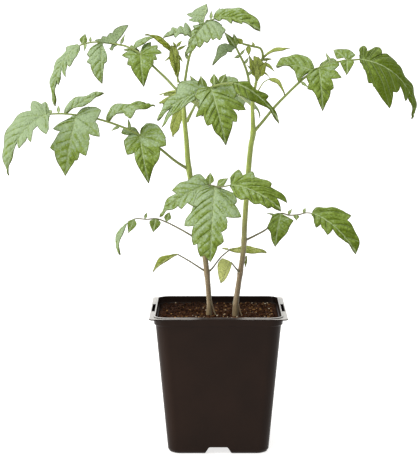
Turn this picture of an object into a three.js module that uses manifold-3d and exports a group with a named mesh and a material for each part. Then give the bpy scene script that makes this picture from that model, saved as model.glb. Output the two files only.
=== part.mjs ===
// A young tomato plant in a square nursery pot, as it is sold: two leafy stems from one plug of soil.
//
// Millimetres, +Z up, +X to the right and +Y away from the side that is shown. The origin is the middle of
// the pot's underside, on the surface that the pot stands on.

import * as THREE from 'three';
import Module from 'manifold-3d';

const wasm = await Module();
wasm.setup();

// Driving sizes
const GAP = 0.3; // between solids that touch on the real plant
const WALL = 1.25; // pot wall and floor
const POT_HEIGHT = 121.5; // to the top of the lip
const FLANGE_TOP = 120.5;
const FLANGE_THICK = 1.3;
const FLANGE = { halfX: 59, halfY: 55.4, corner: 4 }; // the ledge at the rim, wide on the left and the right
const SLOT = { inner: 55.7, outer: 57.7, half: 18 }; // a slot along each wide ledge
const PAST = 5; // how far a cutting shape reaches past what it cuts
const STEP_HEIGHT = 113.6; // where the wall steps out to the rim
const FOOT = { bottom: 23.5, top: 16.5, height: 6.3, inner: 9.5 }; // drainage notch under each side
const DRAIN = { radius: 4, sides: 16, from: 27 }; // one hole in the roof of each notch
const SOIL_TOP = 114;
const SOIL_WAVE = 0.5; // how far the soil's surface rises and falls
const BLADE_THICK = 0.7;
const BLADE_TIP = 1; // width of a blade at its tip
const STATION_PITCH = 10; // from one point of a blade's midrib to the next, about
const FEWEST_STATIONS = { large: 4, small: 2 };
const STALK = 1.4; // width of a blade's stalk where it leaves the rachis
const MARGIN_DROOP = 0.006; // how the blade's margin turns down, per mm squared from the midrib
const STEM_SIDES = 8;
const RACHIS_SIDES = 5;
const TUBE_STEPS = 2; // stretches of tube from one point of its axis to the next
const PETIOLE_FOOT = { swell: 0.4, reach: 4 }; // how a petiole thickens at the stem
const CORNER_STEPS = 4; // flats round one corner of the pot
const SOIL_CELLS = 8; // across the soil's surface
const SAME_POINT = 1e-4; // points closer than this are one

const COLOURS = {
  pot: 0x2b2624,
  soil: 0x4a3123,
  stem: 0x93a05a,
  leaf: 0x74984c,
  youngLeaf: 0x8aa653,
  cotyledon: 0x9fb866,
};
const ROUGHNESS = { pot: 0.4, soil: 0.95, plant: 0.6 };

// The outer wall, from the foot to the lip: half its width, its corner radius and its height
const OUTER = [
  [39.6, 7, 0], [42.2, 8.5, 1.2], [43.6, 9.5, 3.6], [53.6, 11, STEP_HEIGHT], [54.8, 11.5, STEP_HEIGHT + 0.9],
  [55.2, 11.5, FLANGE_TOP - 1], [55.2, 11.5, POT_HEIGHT - 0.5], [54.7, 11, POT_HEIGHT],
];
// The inside of the wall, from the floor up past the lip
const INNER = [
  [40.6, 8, WALL], [42.3, 9, 3.9], [52.4, 10, STEP_HEIGHT + 1.4], [53.5, 10.3, STEP_HEIGHT + 2.3],
  [53.9, 10.3, POT_HEIGHT + 1],
];

// Solids

function solidOf(positions, triangles) {
  const mesh = new wasm.Mesh({
    numProp: 3,
    vertProperties: Float32Array.from(positions.flat()),
    triVerts: Uint32Array.from(triangles.flat()),
  });
  return new wasm.Manifold(mesh);
}

function solidOfGeometry(geometry) {
  const points = [];
  const seen = new Map();
  const position = geometry.getAttribute('position');
  const order = [];
  for (let i = 0; i < position.count; i += 1) {
    const point = [position.getX(i), position.getY(i), position.getZ(i)];
    const key = point.map((value) => Math.round(value / SAME_POINT)).join();
    if (!seen.has(key)) {
      seen.set(key, points.length);
      points.push(point);
    }
    order.push(seen.get(key));
  }
  const corners = geometry.index ? Array.from(geometry.index.array, (i) => order[i]) : order;
  const triangles = [];
  for (let i = 0; i < corners.length; i += 3) {
    const triangle = corners.slice(i, i + 3);
    if (new Set(triangle).size === 3) triangles.push(triangle);
  }
  return solidOf(points, triangles);
}

function join(solids) {
  return solids.reduce((whole, solid) => whole.add(solid));
}

function cut(solid, tools) {
  return tools.reduce((rest, tool) => rest.subtract(tool), solid);
}

function meshOf(name, solid, colour, roughness) {
  const { vertProperties, triVerts } = solid.getMesh();
  const geometry = new THREE.BufferGeometry();
  geometry.setAttribute('position', new THREE.BufferAttribute(vertProperties, 3));
  geometry.setIndex(new THREE.BufferAttribute(triVerts, 1));
  geometry.computeVertexNormals();
  const material = new THREE.MeshStandardMaterial({ color: colour, roughness, metalness: 0 });
  const mesh = new THREE.Mesh(geometry, material);
  mesh.name = name;
  return mesh;
}

// Stacks closed rings of points, all of one length, and closes the first and the last with a fan
function stackRings(rings) {
  const count = rings[0].length;
  const points = rings.flat();
  const triangles = [];
  for (let row = 0; row < rings.length - 1; row += 1) {
    for (let k = 0; k < count; k += 1) {
      const a = row * count + k;
      const b = row * count + ((k + 1) % count);
      triangles.push([a, b, b + count], [a, b + count, a + count]);
    }
  }
  const middle = (ring) => [0, 1, 2].map((axis) => ring.reduce((sum, p) => sum + p[axis], 0) / count);
  const first = points.push(middle(rings[0])) - 1;
  const last = points.push(middle(rings[rings.length - 1])) - 1;
  const top = (rings.length - 1) * count;
  for (let k = 0; k < count; k += 1) {
    const next = (k + 1) % count;
    triangles.push([first, next, k], [last, top + k, top + next]);
  }
  return solidOf(points, triangles);
}

// A square ring with round corners, seen from above
function squareRing(half, corner, z) {
  const ring = [];
  for (let quarter = 0; quarter < 4; quarter += 1) {
    const middle = (quarter + 0.5) * (Math.PI / 2);
    const centre = (half - corner) * Math.SQRT2;
    for (let k = 0; k <= CORNER_STEPS; k += 1) {
      const angle = (quarter + k / CORNER_STEPS) * (Math.PI / 2);
      ring.push([
        centre * Math.cos(middle) + corner * Math.cos(angle),
        centre * Math.sin(middle) + corner * Math.sin(angle),
        z,
      ]);
    }
  }
  return ring;
}

// Pot

// A drainage notch under the side that faces -Y, its section grown by `grow` all round
function notch(grow, turn) {
  const { bottom, top, height, inner } = FOOT;
  const shape = new THREE.Shape([
    new THREE.Vector2(-bottom / 2 - grow, -PAST),
    new THREE.Vector2(bottom / 2 + grow, -PAST),
    new THREE.Vector2(bottom / 2 + grow, 0),
    new THREE.Vector2(top / 2 + grow, height + grow),
    new THREE.Vector2(-top / 2 - grow, height + grow),
    new THREE.Vector2(-bottom / 2 - grow, 0),
  ]);
  const depth = FLANGE.halfX - inner + grow;
  const geometry = new THREE.ExtrudeGeometry(shape, { depth, bevelEnabled: false });
  geometry.rotateX(Math.PI / 2);
  geometry.translate(0, -inner + grow, 0);
  geometry.rotateZ(turn);
  return solidOfGeometry(geometry);
}

function plate(halfX, halfY, corner, low, high) {
  const shape = new THREE.Shape();
  shape.absarc(halfX - corner, halfY - corner, corner, 0, Math.PI / 2);
  shape.absarc(corner - halfX, halfY - corner, corner, Math.PI / 2, Math.PI);
  shape.absarc(corner - halfX, corner - halfY, corner, Math.PI, 1.5 * Math.PI);
  shape.absarc(halfX - corner, corner - halfY, corner, 1.5 * Math.PI, 2 * Math.PI);
  const settings = { depth: high - low, bevelEnabled: false, curveSegments: CORNER_STEPS };
  const geometry = new THREE.ExtrudeGeometry(shape, settings);
  geometry.translate(0, 0, low);
  return solidOfGeometry(geometry);
}

const SIDES = [0, 1, 2, 3].map((quarter) => quarter * (Math.PI / 2));

// The level of a wall at height z, between the two listed levels round it
function levelAt(levels, z) {
  const above = levels.findIndex((level) => level[2] >= z);
  const [low, high] = [levels[above - 1], levels[above]];
  const share = (z - low[2]) / (high[2] - low[2]);
  return low.map((value, k) => value + (high[k] - value) * share);
}

// The room inside the pot up to `top`, drawn in by `clearance`, with the notches' roofs standing up in it
function room(clearance, top) {
  const levels = [...INNER.filter(([, , z]) => z < top), levelAt(INNER, top)];
  const rings = levels.map(([half, corner, z], row) =>
    squareRing(half - clearance, corner, row === 0 ? z + clearance : z));
  return cut(stackRings(rings), SIDES.map((turn) => notch(WALL + clearance, turn)));
}

function makePot() {
  const wall = stackRings(OUTER.map(([half, corner, z]) => squareRing(half, corner, z)));
  const ledge = plate(FLANGE.halfX, FLANGE.halfY, FLANGE.corner, FLANGE_TOP - FLANGE_THICK, FLANGE_TOP);
  const slots = [-1, 1].map((side) => {
    const width = SLOT.outer - SLOT.inner;
    const box = new THREE.BoxGeometry(width, 2 * SLOT.half, PAST);
    box.translate((side * (SLOT.inner + SLOT.outer)) / 2, 0, FLANGE_TOP);
    return solidOfGeometry(box);
  });
  const drains = SIDES.map((turn) => {
    const hole = new THREE.CylinderGeometry(DRAIN.radius, DRAIN.radius, 2 * PAST, DRAIN.sides);
    hole.rotateX(Math.PI / 2);
    hole.translate(0, -DRAIN.from, FOOT.height);
    hole.rotateZ(turn);
    return solidOfGeometry(hole);
  });
  const notches = SIDES.map((turn) => notch(0, turn));
  return cut(wall.add(ledge), [room(0, POT_HEIGHT + 1), ...slots, ...drains, ...notches]);
}

// Soil

function soilHeight(x, y) {
  return SOIL_TOP + SOIL_WAVE * (Math.sin(x / 9 + 1) * Math.cos(y / 11) + 0.6 * Math.sin(x / 5 - y / 6.5));
}

// The room is filled past the soil's surface, and a block with a wavy underside takes the rest away again
function makeSoil(stems) {
  const body = room(GAP, SOIL_TOP + 2 * SOIL_WAVE);
  const size = 2 * FLANGE.halfX;
  const lid = new THREE.BoxGeometry(size, size, 2 * PAST, SOIL_CELLS, SOIL_CELLS, 1);
  const position = lid.getAttribute('position');
  for (let i = 0; i < position.count; i += 1) {
    const low = position.getZ(i) < 0;
    position.setZ(i, low ? soilHeight(position.getX(i), position.getY(i)) : SOIL_TOP + PAST);
  }
  return cut(body, [solidOfGeometry(lid), ...stems]);
}

// Stems and rachises

const vector = (p) => new THREE.Vector3(p[0], p[1], p[2]);

function curveThrough(points) {
  return new THREE.CatmullRomCurve3(points.map(vector), false, 'catmullrom', 0.5);
}

// A round tube along a curve, its radius given as a function of the share of the way and the distance in mm
function tube(curve, radiusAt, sides) {
  const length = curve.getLength();
  const steps = TUBE_STEPS * (curve.points.length - 1);
  const rings = [];
  const across = new THREE.Vector3(0, 1, 0);
  for (let row = 0; row <= steps; row += 1) {
    const share = row / steps;
    const centre = curve.getPoint(share);
    const ahead = curve.getTangent(share);
    across.addScaledVector(ahead, -across.dot(ahead)).normalize();
    const up = new THREE.Vector3().crossVectors(ahead, across);
    const radius = radiusAt(share, share * length);
    const ring = [];
    for (let k = 0; k < sides; k += 1) {
      const angle = (2 * Math.PI * k) / sides;
      ring.push(centre.clone()
        .addScaledVector(across, radius * Math.cos(angle))
        .addScaledVector(up, radius * Math.sin(angle))
        .toArray());
    }
    rings.push(ring);
  }
  return stackRings(rings);
}

// Linear between the values of a list that are spread evenly over the way
function between(values, share) {
  const place = share * (values.length - 1);
  const low = Math.min(Math.floor(place), values.length - 2);
  return values[low] + (values[low + 1] - values[low]) * (place - low);
}

function stemTube({ points, radii }, grow) {
  return tube(curveThrough(points), (share) => between(radii, share) + grow, STEM_SIDES);
}

// Blades
//
// A blade's midrib is an arc from the rachis to the tip that turns through `bend` degrees. Its upper side
// looks towards `face`, and each half rises from the midrib by `cup` degrees before its margin turns down.
// The two outlines hold lobe tips and notches, in percent of the straight length: how far along, and how far
// out.

const blade = (at, tip, face, bend, cup, left, right) => ({ at, tip, face, bend, cup, left, right });

// A small leaflet of a plain toothed shape, `width` mm wide
const SMALL_OUTLINE = [[12, 0.2], [32, 1], [60, 0.8], [80, 0.4]];
const leaflet = (at, tip, face, bend, cup, width) => ({ at, tip, face, bend, cup, width });

function bladeFrame({ tip, face, bend }, base) {
  const along = vector(tip).sub(base);
  const chord = along.length();
  along.normalize();
  const up = vector(face);
  up.addScaledVector(along, -up.dot(along)).normalize();
  const side = new THREE.Vector3().crossVectors(along, up);
  return { base, chord, along, up, side, half: THREE.MathUtils.degToRad(bend) / 2 };
}

// The blade's point at t along and w out, both shares of the chord, raised by `offset` mm off the surface
function bladePoint({ base, chord, along, up, side, half }, cup, t, w, offset) {
  const radius = chord / (2 * Math.sin(half));
  const angle = half - 2 * half * t;
  const out = Math.abs(w) * chord;
  const tilt = THREE.MathUtils.degToRad(cup);
  const lift = out * Math.sin(tilt) - MARGIN_DROOP * out * out + offset;
  return base.clone()
    .addScaledVector(along, radius * (Math.sin(half) - Math.sin(angle)) - lift * Math.sin(angle))
    .addScaledVector(up, radius * (Math.cos(angle) - Math.cos(half)) + lift * Math.cos(angle))
    .addScaledVector(side, Math.sign(w) * out * Math.cos(tilt))
    .toArray();
}

function halfOutline({ left, right, width }, half, chord) {
  const percent = (width
    ? SMALL_OUTLINE.map(([t, share]) => [t, (share * 50 * width) / chord])
    : [left, right][half]);
  return [
    [0, STALK / 2 / chord],
    ...percent.map(([t, w]) => [t / 100, w / 100]),
    [1, BLADE_TIP / 2 / chord],
  ];
}

// The flat outline is split into triangles from the midrib, the same ones on the upper and the lower face
function bladeSolid(leaf, rachis) {
  const frame = bladeFrame(leaf, rachis.getPoint(leaf.at));
  const { large, small } = FEWEST_STATIONS;
  const stations = leaf.width ? small : Math.max(large, Math.round(frame.chord / STATION_PITCH));
  const spine = [];
  for (let k = 0; k <= stations; k += 1) spine.push([k / stations, 0]);
  const sides = [0, 1].map((half) => halfOutline(leaf, half, frame.chord));
  const flat = [...spine, ...sides[0], ...sides[1].map(([t, w]) => [t, -w])];
  const faces = [];
  for (const half of [0, 1]) {
    const first = spine.length + (half === 0 ? 0 : sides[0].length);
    const loop = [...sides[half].keys()].map((k) => first + k);
    loop.push(...[...spine.keys()].reverse());
    const contour = loop.map((i) => new THREE.Vector2(flat[i][0], flat[i][1]));
    for (const corners of THREE.ShapeUtils.triangulateShape(contour, [])) {
      const [a, b, c] = corners.map((k) => contour[k]);
      const turn = (b.x - a.x) * (c.y - a.y) - (b.y - a.y) * (c.x - a.x);
      const ids = corners.map((k) => loop[k]);
      faces.push(turn < 0 ? ids : ids.reverse());
    }
  }
  const count = flat.length;
  const points = [BLADE_THICK / 2, -BLADE_THICK / 2].flatMap((offset) =>
    flat.map(([t, w]) => bladePoint(frame, leaf.cup, t, w, offset)));
  const edge = [
    0, ...sides[0].map((_, k) => spine.length + k), spine.length - 1,
    ...sides[1].map((_, k) => count - 1 - k),
  ];
  const rim = edge.flatMap((a, k) => {
    const b = edge[(k + 1) % edge.length];
    return [[b, a, a + count], [b, a + count, b + count]];
  });
  return solidOf(points, [...faces, ...faces.map(([a, b, c]) => [c + count, b + count, a + count]), ...rim]);
}

// What the stem's bore cuts off beyond the stem is dropped
function makeFrond({ rachis, radii, blades }, bore) {
  const curve = curveThrough(rachis);
  const { swell, reach } = PETIOLE_FOOT;
  const radiusAt = (share, distance) => between(radii, share) + swell * Math.exp(-distance / reach);
  const whole = join([tube(curve, radiusAt, RACHIS_SIDES), ...blades.map((leaf) => bladeSolid(leaf, curve))]);
  const pieces = cut(whole, [bore]).decompose();
  return pieces.reduce((largest, piece) => (piece.volume() > largest.volume() ? piece : largest));
}

// The two stems, from the root end in the soil to the growing tip: points on the axis, and radii that are
// spread evenly
const STEMS = {
  left: {
    points: [
      [-8, -12, 80], [-8, -12, 114], [-8, -12, 129], [-10, -12, 154], [-13, -12, 178], [-18, -11, 205],
      [-23, -10, 230], [-26, -10, 249], [-27.5, -10, 269], [-29, -9, 284], [-30, -9, 300], [-33, -9, 312],
      [-34.4, -9, 317],
    ],
    radii: [2.4, 2.6, 2.2, 2.3, 2.4, 2.4, 2.4, 2.4, 2.1, 1.9, 1.6, 1.3, 0.9],
  },
  right: {
    points: [
      [15, -12, 80], [15, -12, 114], [15.6, -12, 129], [19, -11, 153], [22, -10, 175], [23, -10, 198],
      [26, -8, 241], [28, -8, 263], [30, -7, 275], [29.4, -6, 294], [30, -6, 306], [31.6, -6, 314],
      [32.6, -6, 319],
    ],
    radii: [2.7, 3, 2.5, 2.2, 2.3, 2.3, 2.3, 2.3, 2.3, 1.6, 1.4, 1.2, 0.9],
  },
};

// The fronds and the cotyledons. A rachis is a list of points from the stem's axis outwards, and a blade
// leaves it at a share of its way.
const FRONDS = [
  {
    name: 'cotyledon_left_a', stem: 'left', kind: 'cotyledon', radii: [0.75, 0.6],
    rachis: [[-10, -12, 154], [-16, -13, 158], [-25, -14, 164], [-35, -15, 170]],
    blades: [
      blade(1, [-57, -18, 155], [-0.3, -1, 0.8], 50, 8,
        [[28, 14], [53, 21], [76, 13]],
        [[30, 4], [52, 3], [74, 3]]),
    ],
  },
  {
    name: 'cotyledon_left_b', stem: 'left', kind: 'cotyledon', radii: [0.75, 0.6],
    rachis: [[-10, -12, 153], [-5, -8, 157], [2, 0, 165], [10, 6, 171]],
    blades: [
      blade(1, [43, 16, 167], [0, -0.8, 1], 40, 8,
        [[18, 16], [45, 17], [74, 13]],
        [[22, 6], [48, 8], [78, 7]]),
      leaflet(1, [3, 10, 172], [0, -0.5, 1], 20, 0, 4),
    ],
  },
  {
    name: 'cotyledon_right_a', stem: 'right', kind: 'cotyledon', radii: [0.75, 0.6],
    rachis: [[19, -11, 153], [16, -15, 157], [11, -21, 164]],
    blades: [
      blade(1, [2, -30, 147], [0, -1, 0.3], 60, 5,
        [[4, 40], [34, 46], [71, 26]],
        [[7, 6], [45, 12], [81, 10]]),
    ],
  },
  {
    name: 'cotyledon_right_b', stem: 'right', kind: 'cotyledon', radii: [0.75, 0.6],
    rachis: [[19, -11, 154], [22, -2, 161], [24, 8, 164]],
    blades: [
      blade(1, [25, 40, 150], [0, 0.2, 1], 50, 5,
        [[45, 9], [71, 9]],
        [[44, 9], [71, 10]]),
    ],
  },
  {
    name: 'frond_left_low', stem: 'left', radii: [0.9, 0.5],
    rachis: [[-13, -12, 179], [-23, -6, 185], [-33, 0, 190], [-44, 5, 195], [-54, 10, 198], [-63, 14, 197],
      [-73, 18, 197], [-80, 20, 193]],
    blades: [
      blade(1, [-87, 22, 164], [-0.82, -0.53, 0.2], 90, 0,
        [[19, 9], [47, 13], [73, 13]],
        [[20, 13], [45, 15], [71, 13]]),
      leaflet(0.88, [-79, 10, 185], [0, -1, 0.3], 60, 5, 8),
      leaflet(0.58, [-57, 2, 187], [0, -1, 0.3], 60, 5, 10),
      leaflet(0.74, [-63, 22, 202], [0, -1, 0.3], 20, 5, 4),
      leaflet(0.45, [-43, 18, 203], [0, -1, 0.3], 20, 5, 6),
    ],
  },
  {
    name: 'frond_right_low', stem: 'right', radii: [0.9, 0.5],
    rachis: [[22, -10, 181], [33, -14, 187], [42, -18, 193], [48, -22, 202], [54, -25, 207],
      [60, -29, 206], [68, -34, 207], [74, -38, 209], [79, -41, 209]],
    blades: [
      blade(1, [115, -62, 177], [0.2, -0.9, 0.8], 70, 6,
        [[14, 11], [29, 23], [29, 12], [51, 22], [49, 7], [74, 6], [80, 3]],
        [[-4, 14], [10, 25], [28, 33], [48, 39], [51, 25], [68, 24], [88, 16]]),
      blade(0.49, [48, -40, 180], [-0.1, -1, 0.25], 70, 8,
        [[14, 20], [33, 25], [55, 29], [66, 18], [83, 12]],
        [[12, 16], [24, 39], [42, 32], [60, 27], [83, 11]]),
      leaflet(0.41, [41, -30, 208], [0, -1, 0.9], 20, 0, 4),
      leaflet(0.61, [63, -25, 211], [0, -1, 0.3], 20, 0, 4),
      leaflet(0.72, [66, -42, 203], [0, -1, 0.3], 30, 0, 5),
      leaflet(0.83, [74, -34, 213], [0, -1, 0.3], 20, 0, 4),
    ],
  },
  {
    name: 'frond_front_low', stem: 'left', radii: [1.1, 0.6],
    rachis: [[-22, -11, 226], [-17, -22, 230], [-9, -40, 233], [1, -56, 233], [10, -70, 236]],
    blades: [
      blade(0.52, [-50, -48, 207], [-0.25, -0.8, 0.9], 50, 10,
        [[3, 27], [13, 31], [28, 26], [42, 27], [57, 25], [54, 14], [69, 14], [86, 6]],
        [[16, 18], [28, 30], [42, 39], [49, 22], [62, 24], [64, 12], [74, 12], [83, 5], [94, 6]]),
      blade(0.65, [-7, -62, 170], [-0.05, -1, 0.35], 60, 8,
        [[18, 12], [37, 25], [55, 34], [52, 23], [67, 26], [78, 23], [76, 18], [93, 13], [90, 8]],
        [[6, 14], [10, 26], [20, 31], [24, 28], [30, 33], [40, 38], [41, 18], [55, 20], [60, 13], [71, 17],
          [78, 9]]),
      blade(1, [51, -92, 217], [0.2, -0.85, 0.8], 60, 8,
        [[18, 18], [42, 31], [48, 22], [62, 23], [68, 17], [82, 17], [85, 8]],
        [[-9, 12], [-17, 30], [-19, 45], [5, 28], [18, 39], [29, 29], [43, 31], [60, 30], [62, 23],
          [79, 26], [98, 19], [80, 12]]),
      leaflet(0.54, [-7, -36, 243], [0, -1, 0.3], 20, 5, 7),
      leaflet(0.69, [8, -52, 240], [0, -1, 0.9], 20, 5, 7),
    ],
  },
  {
    name: 'frond_left_mid', stem: 'left', radii: [1.3, 0.75],
    rachis: [[-25, -10, 243], [-37, -14, 251], [-50, -18, 262], [-64, -22, 272], [-79, -26, 280],
      [-98, -30, 287], [-115, -34, 291], [-130, -38, 293], [-142, -41, 293]],
    blades: [
      blade(0.4, [-59, -38, 234], [-0.1, -1, 0.3], 60, 8,
        [[-23, 8], [-33, 28], [-15, 37], [-7, 22], [7, 33], [22, 33], [38, 31], [37, 16], [60, 15]],
        [[-37, 13], [-32, 26], [-6, 42], [8, 48], [36, 49], [37, 36], [59, 30], [73, 16]]),
      blade(0.79, [-129, -46, 241], [0, -1, 0.3], 50, 8,
        [[13, 14], [21, 25], [30, 32], [32, 20], [46, 25], [60, 31], [64, 23], [77, 17], [88, 9]],
        [[-14, 8], [-22, 28], [-16, 38], [6, 33], [30, 45], [29, 27], [63, 29], [60, 18], [72, 16],
          [73, 12], [87, 6]]),
      blade(1, [-176, -52, 242], [-0.57, -0.7, 0.43], 95, -4,
        [[4, 14], [18, 24], [40, 26], [62, 22], [82, 12]],
        [[14, 19], [29, 32], [30, 15], [38, 17], [51, 20], [49, 14], [63, 13], [58, 5], [77, 4], [76, 3],
          [88, 3]]),
      blade(0.87, [-97, -22, 310], [0, -0.75, 1], 30, 6,
        [[18, 3], [36, 12], [52, 12], [59, 13], [78, 6]],
        [[14, 16], [42, 19], [62, 12], [88, 8]]),
      blade(0.6, [-54, -14, 298], [0, -0.45, 1], 70, 4,
        [[20, 3], [33, 11], [35, 35], [53, 20], [64, 22]],
        [[20, 29], [32, 27], [54, 12], [87, 8]]),
      leaflet(0.98, [-153, -44, 304], [-0.5, -0.7, -0.55], 80, 5, 10),
      leaflet(0.98, [-146, -38, 304], [0, -1, 0.3], 20, 5, 5),
      leaflet(0.99, [-141, -38, 297], [0, -1, 0.3], 20, 5, 3),
      leaflet(0.92, [-135, -34, 300], [0, -1, 0.3], 20, 5, 4),
      leaflet(0.53, [-91, -34, 278], [0, -1, 0.9], 30, 0, 4),
      leaflet(0.47, [-77, -20, 288], [0, -1, 0.3], 20, 0, 4),
    ],
  },
  {
    name: 'frond_front_top', stem: 'left', radii: [1.35, 0.7],
    rachis: [[-27, -10, 285], [-22, -18, 295], [-16, -34, 307], [-8, -50, 315], [3, -62, 319],
      [12, -72, 320]],
    blades: [
      blade(0.52, [-51, -52, 288], [-0.25, -0.8, 0.8], 60, 8,
        [[-3, 25], [10, 38], [29, 38], [47, 19], [67, 17], [86, 9]],
        [[29, 16], [52, 19], [74, 19], [102, 19], [80, 11], [68, 3], [84, 3]]),
      blade(0.63, [6, -62, 268], [0, -1, 0.4], 60, 6,
        [[17, 17], [31, 29], [44, 38], [42, 24], [52, 25], [62, 23], [61, 15], [74, 13], [85, 6]],
        [[-15, 26], [-10, 45], [10, 46], [31, 31], [40, 41], [52, 46], [46, 25], [57, 30], [67, 26],
          [65, 20], [79, 13]]),
      blade(1, [49, -88, 288], [0.2, -0.8, 0.8], 70, 8,
        [[20, 19], [33, 21], [45, 19], [54, 12], [64, 7], [75, 3], [84, 3]],
        [[7, 7], [18, 12], [32, 10], [44, 10], [58, 14], [60, 6], [71, 7], [86, 4]]),
      leaflet(0.42, [-24, -30, 325], [0, -1, 0.9], 30, 0, 8),
      leaflet(0.49, [-15, -36, 325], [0, -1, 0.9], 30, 0, 8),
      leaflet(0.68, [-4, -50, 327], [0, -1, 0.3], 30, 0, 7),
      leaflet(0.77, [6, -56, 327], [0, -1, 0.3], 30, 0, 7),
    ],
  },
  {
    name: 'frond_left_top', stem: 'left', radii: [1.3, 0.65],
    rachis: [[-32, -9, 311], [-37, -5, 313], [-45, 2, 321], [-57, 8, 332], [-68, 13, 342], [-79, 17, 348],
      [-88, 20, 350], [-106, 26, 352], [-115, 29, 351], [-122, 31, 349]],
    blades: [
      blade(0.44, [-64, -6, 314], [-0.1, -1, 0.25], 40, 8,
        [[-46, 12], [-68, 38], [-39, 44], [-24, 26], [-9, 50], [5, 31], [23, 37], [37, 32], [48, 30]],
        [[-34, 4], [-52, 22], [-19, 42], [13, 57], [13, 37], [34, 42], [35, 30], [50, 27], [69, 16]]),
      blade(0.75, [-101, 12, 316], [-0.1, -1, 0.4], 50, 8,
        [[10, 17], [31, 34], [39, 27], [50, 34], [56, 25], [71, 22], [84, 15]],
        [[15, 6], [36, 14], [51, 13], [55, 7], [72, 5], [85, 3]]),
      blade(1, [-143, 22, 296], [-0.6, -0.68, 0.43], 85, -4,
        [[2, 16], [8, 22], [16, 15], [38, 17], [60, 15], [80, 10]],
        [[8, 10], [19, 17], [28, 15], [39, 16], [37, 9], [55, 17], [44, 4], [69, 7], [63, 3], [79, 3],
          [89, 3]]),
      blade(0.69, [-79, 34, 367], [0, 0.9, -0.5], 40, 5,
        [[-16, 27], [-24, 61], [14, 50], [39, 36], [60, 34], [81, 22]],
        [[-38, 3], [-45, 21], [-13, 14], [-5, 26], [18, 5], [45, 3], [59, 3], [79, 3]]),
      blade(0.5, [-55, 26, 356], [0, -0.3, 1], 40, 3,
        [[24, 11], [65, 11]],
        [[38, 29], [74, 28]]),
      leaflet(0.96, [-117, 34, 359], [0, -1, 0.3], 20, 0, 7),
      leaflet(0.85, [-112, 30, 357], [0, -1, 0.3], 20, 0, 3),
      leaflet(0.91, [-117, 22, 344], [0, -1, 0.3], 40, 0, 4),
      leaflet(0.64, [-81, 14, 359], [0, -1, 0.3], 20, 0, 4),
    ],
  },
  {
    name: 'frond_top', stem: 'left', radii: [1.4, 0.6],
    rachis: [[-31, -9, 304], [-29, -11, 317], [-26, -14, 335], [-23, -16, 345], [-17, -19, 356],
      [-10, -22, 369], [-4, -25, 372]],
    blades: [
      blade(1, [35, -44, 362], [0.15, -0.9, 0.8], 50, 6,
        [[11, 3], [22, 7], [29, 3], [44, 8], [50, 3], [64, 9], [63, 3], [73, 3], [74, 3], [86, 3]],
        [[-10, 31], [5, 34], [32, 33], [54, 31], [72, 28], [87, 18]]),
      blade(0.76, [-10, -14, 385], [-0.3, -1, 0.3], 30, 6,
        [[45, 5], [72, 8]],
        [[29, 22], [28, 64], [50, 72], [64, 49], [83, 23]]),
      blade(0.88, [-28, -52, 341], [-0.1, -1, 0.7], 60, 8,
        [[24, 3], [40, 7], [52, 7], [65, 7], [77, 6]],
        [[-6, 12], [0, 29], [23, 44], [50, 46], [50, 34], [63, 28], [64, 20], [76, 18], [86, 12]]),
      blade(0.65, [-47, -26, 356], [-0.2, -0.6, 1], 60, 6,
        [[8, 39], [25, 38], [21, 90], [40, 35], [57, 39], [68, 46], [80, 21]],
        [[26, 7], [46, 9], [68, 14], [87, 13]]),
      leaflet(0.93, [-6, -20, 379], [0, -1, 0.3], 20, 0, 4),
      leaflet(0.36, [-29, -10, 345], [0, -1, 0.3], 20, 0, 4),
      leaflet(0.65, [-14, -22, 350], [0, -1, 0.3], 20, 0, 4),
    ],
  },
  {
    name: 'leaf_left_tip', stem: 'left', kind: 'youngLeaf', radii: [0.9, 0.45],
    rachis: [[-34, -9, 318], [-35, -9, 322], [-35, -10, 330], [-36, -10, 341], [-36, -10, 348]],
    blades: [
      blade(0.28, [-40, -15, 350], [0.25, -1, 0.1], 20, 14,
        [[34, 8], [70, 15], [92, 12]],
        [[33, 12], [65, 16], [87, 10]]),
      blade(0.79, [-63, -4, 359], [-0.1, -0.5, 1], 60, 8,
        [[27, 5], [48, 11], [68, 11], [87, 8]],
        [[16, 31], [36, 34], [58, 19], [77, 12]]),
      leaflet(0.42, [-47, -6, 336], [0, -1, 0.9], 20, 8, 5),
      leaflet(0.47, [-30, -6, 336], [0, -1, 0.3], 20, 8, 4),
      leaflet(1, [-39, -12, 353], [0, -1, 0.3], 20, 0, 3),
      leaflet(1, [-31, -9, 354], [0, -1, 0.3], 20, 5, 4),
      leaflet(0.9, [-27, -8, 350], [0, -1, 0.3], 20, 0, 3),
    ],
  },
  {
    name: 'frond_right_main', stem: 'right', radii: [1.4, 0.8],
    rachis: [[30, -7, 275], [38, -4, 284], [49, 0, 297], [59, 4, 307], [73, 8, 320], [86, 12, 329],
      [96, 15, 334], [104, 18, 335], [113, 21, 336], [124, 24, 337]],
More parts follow.
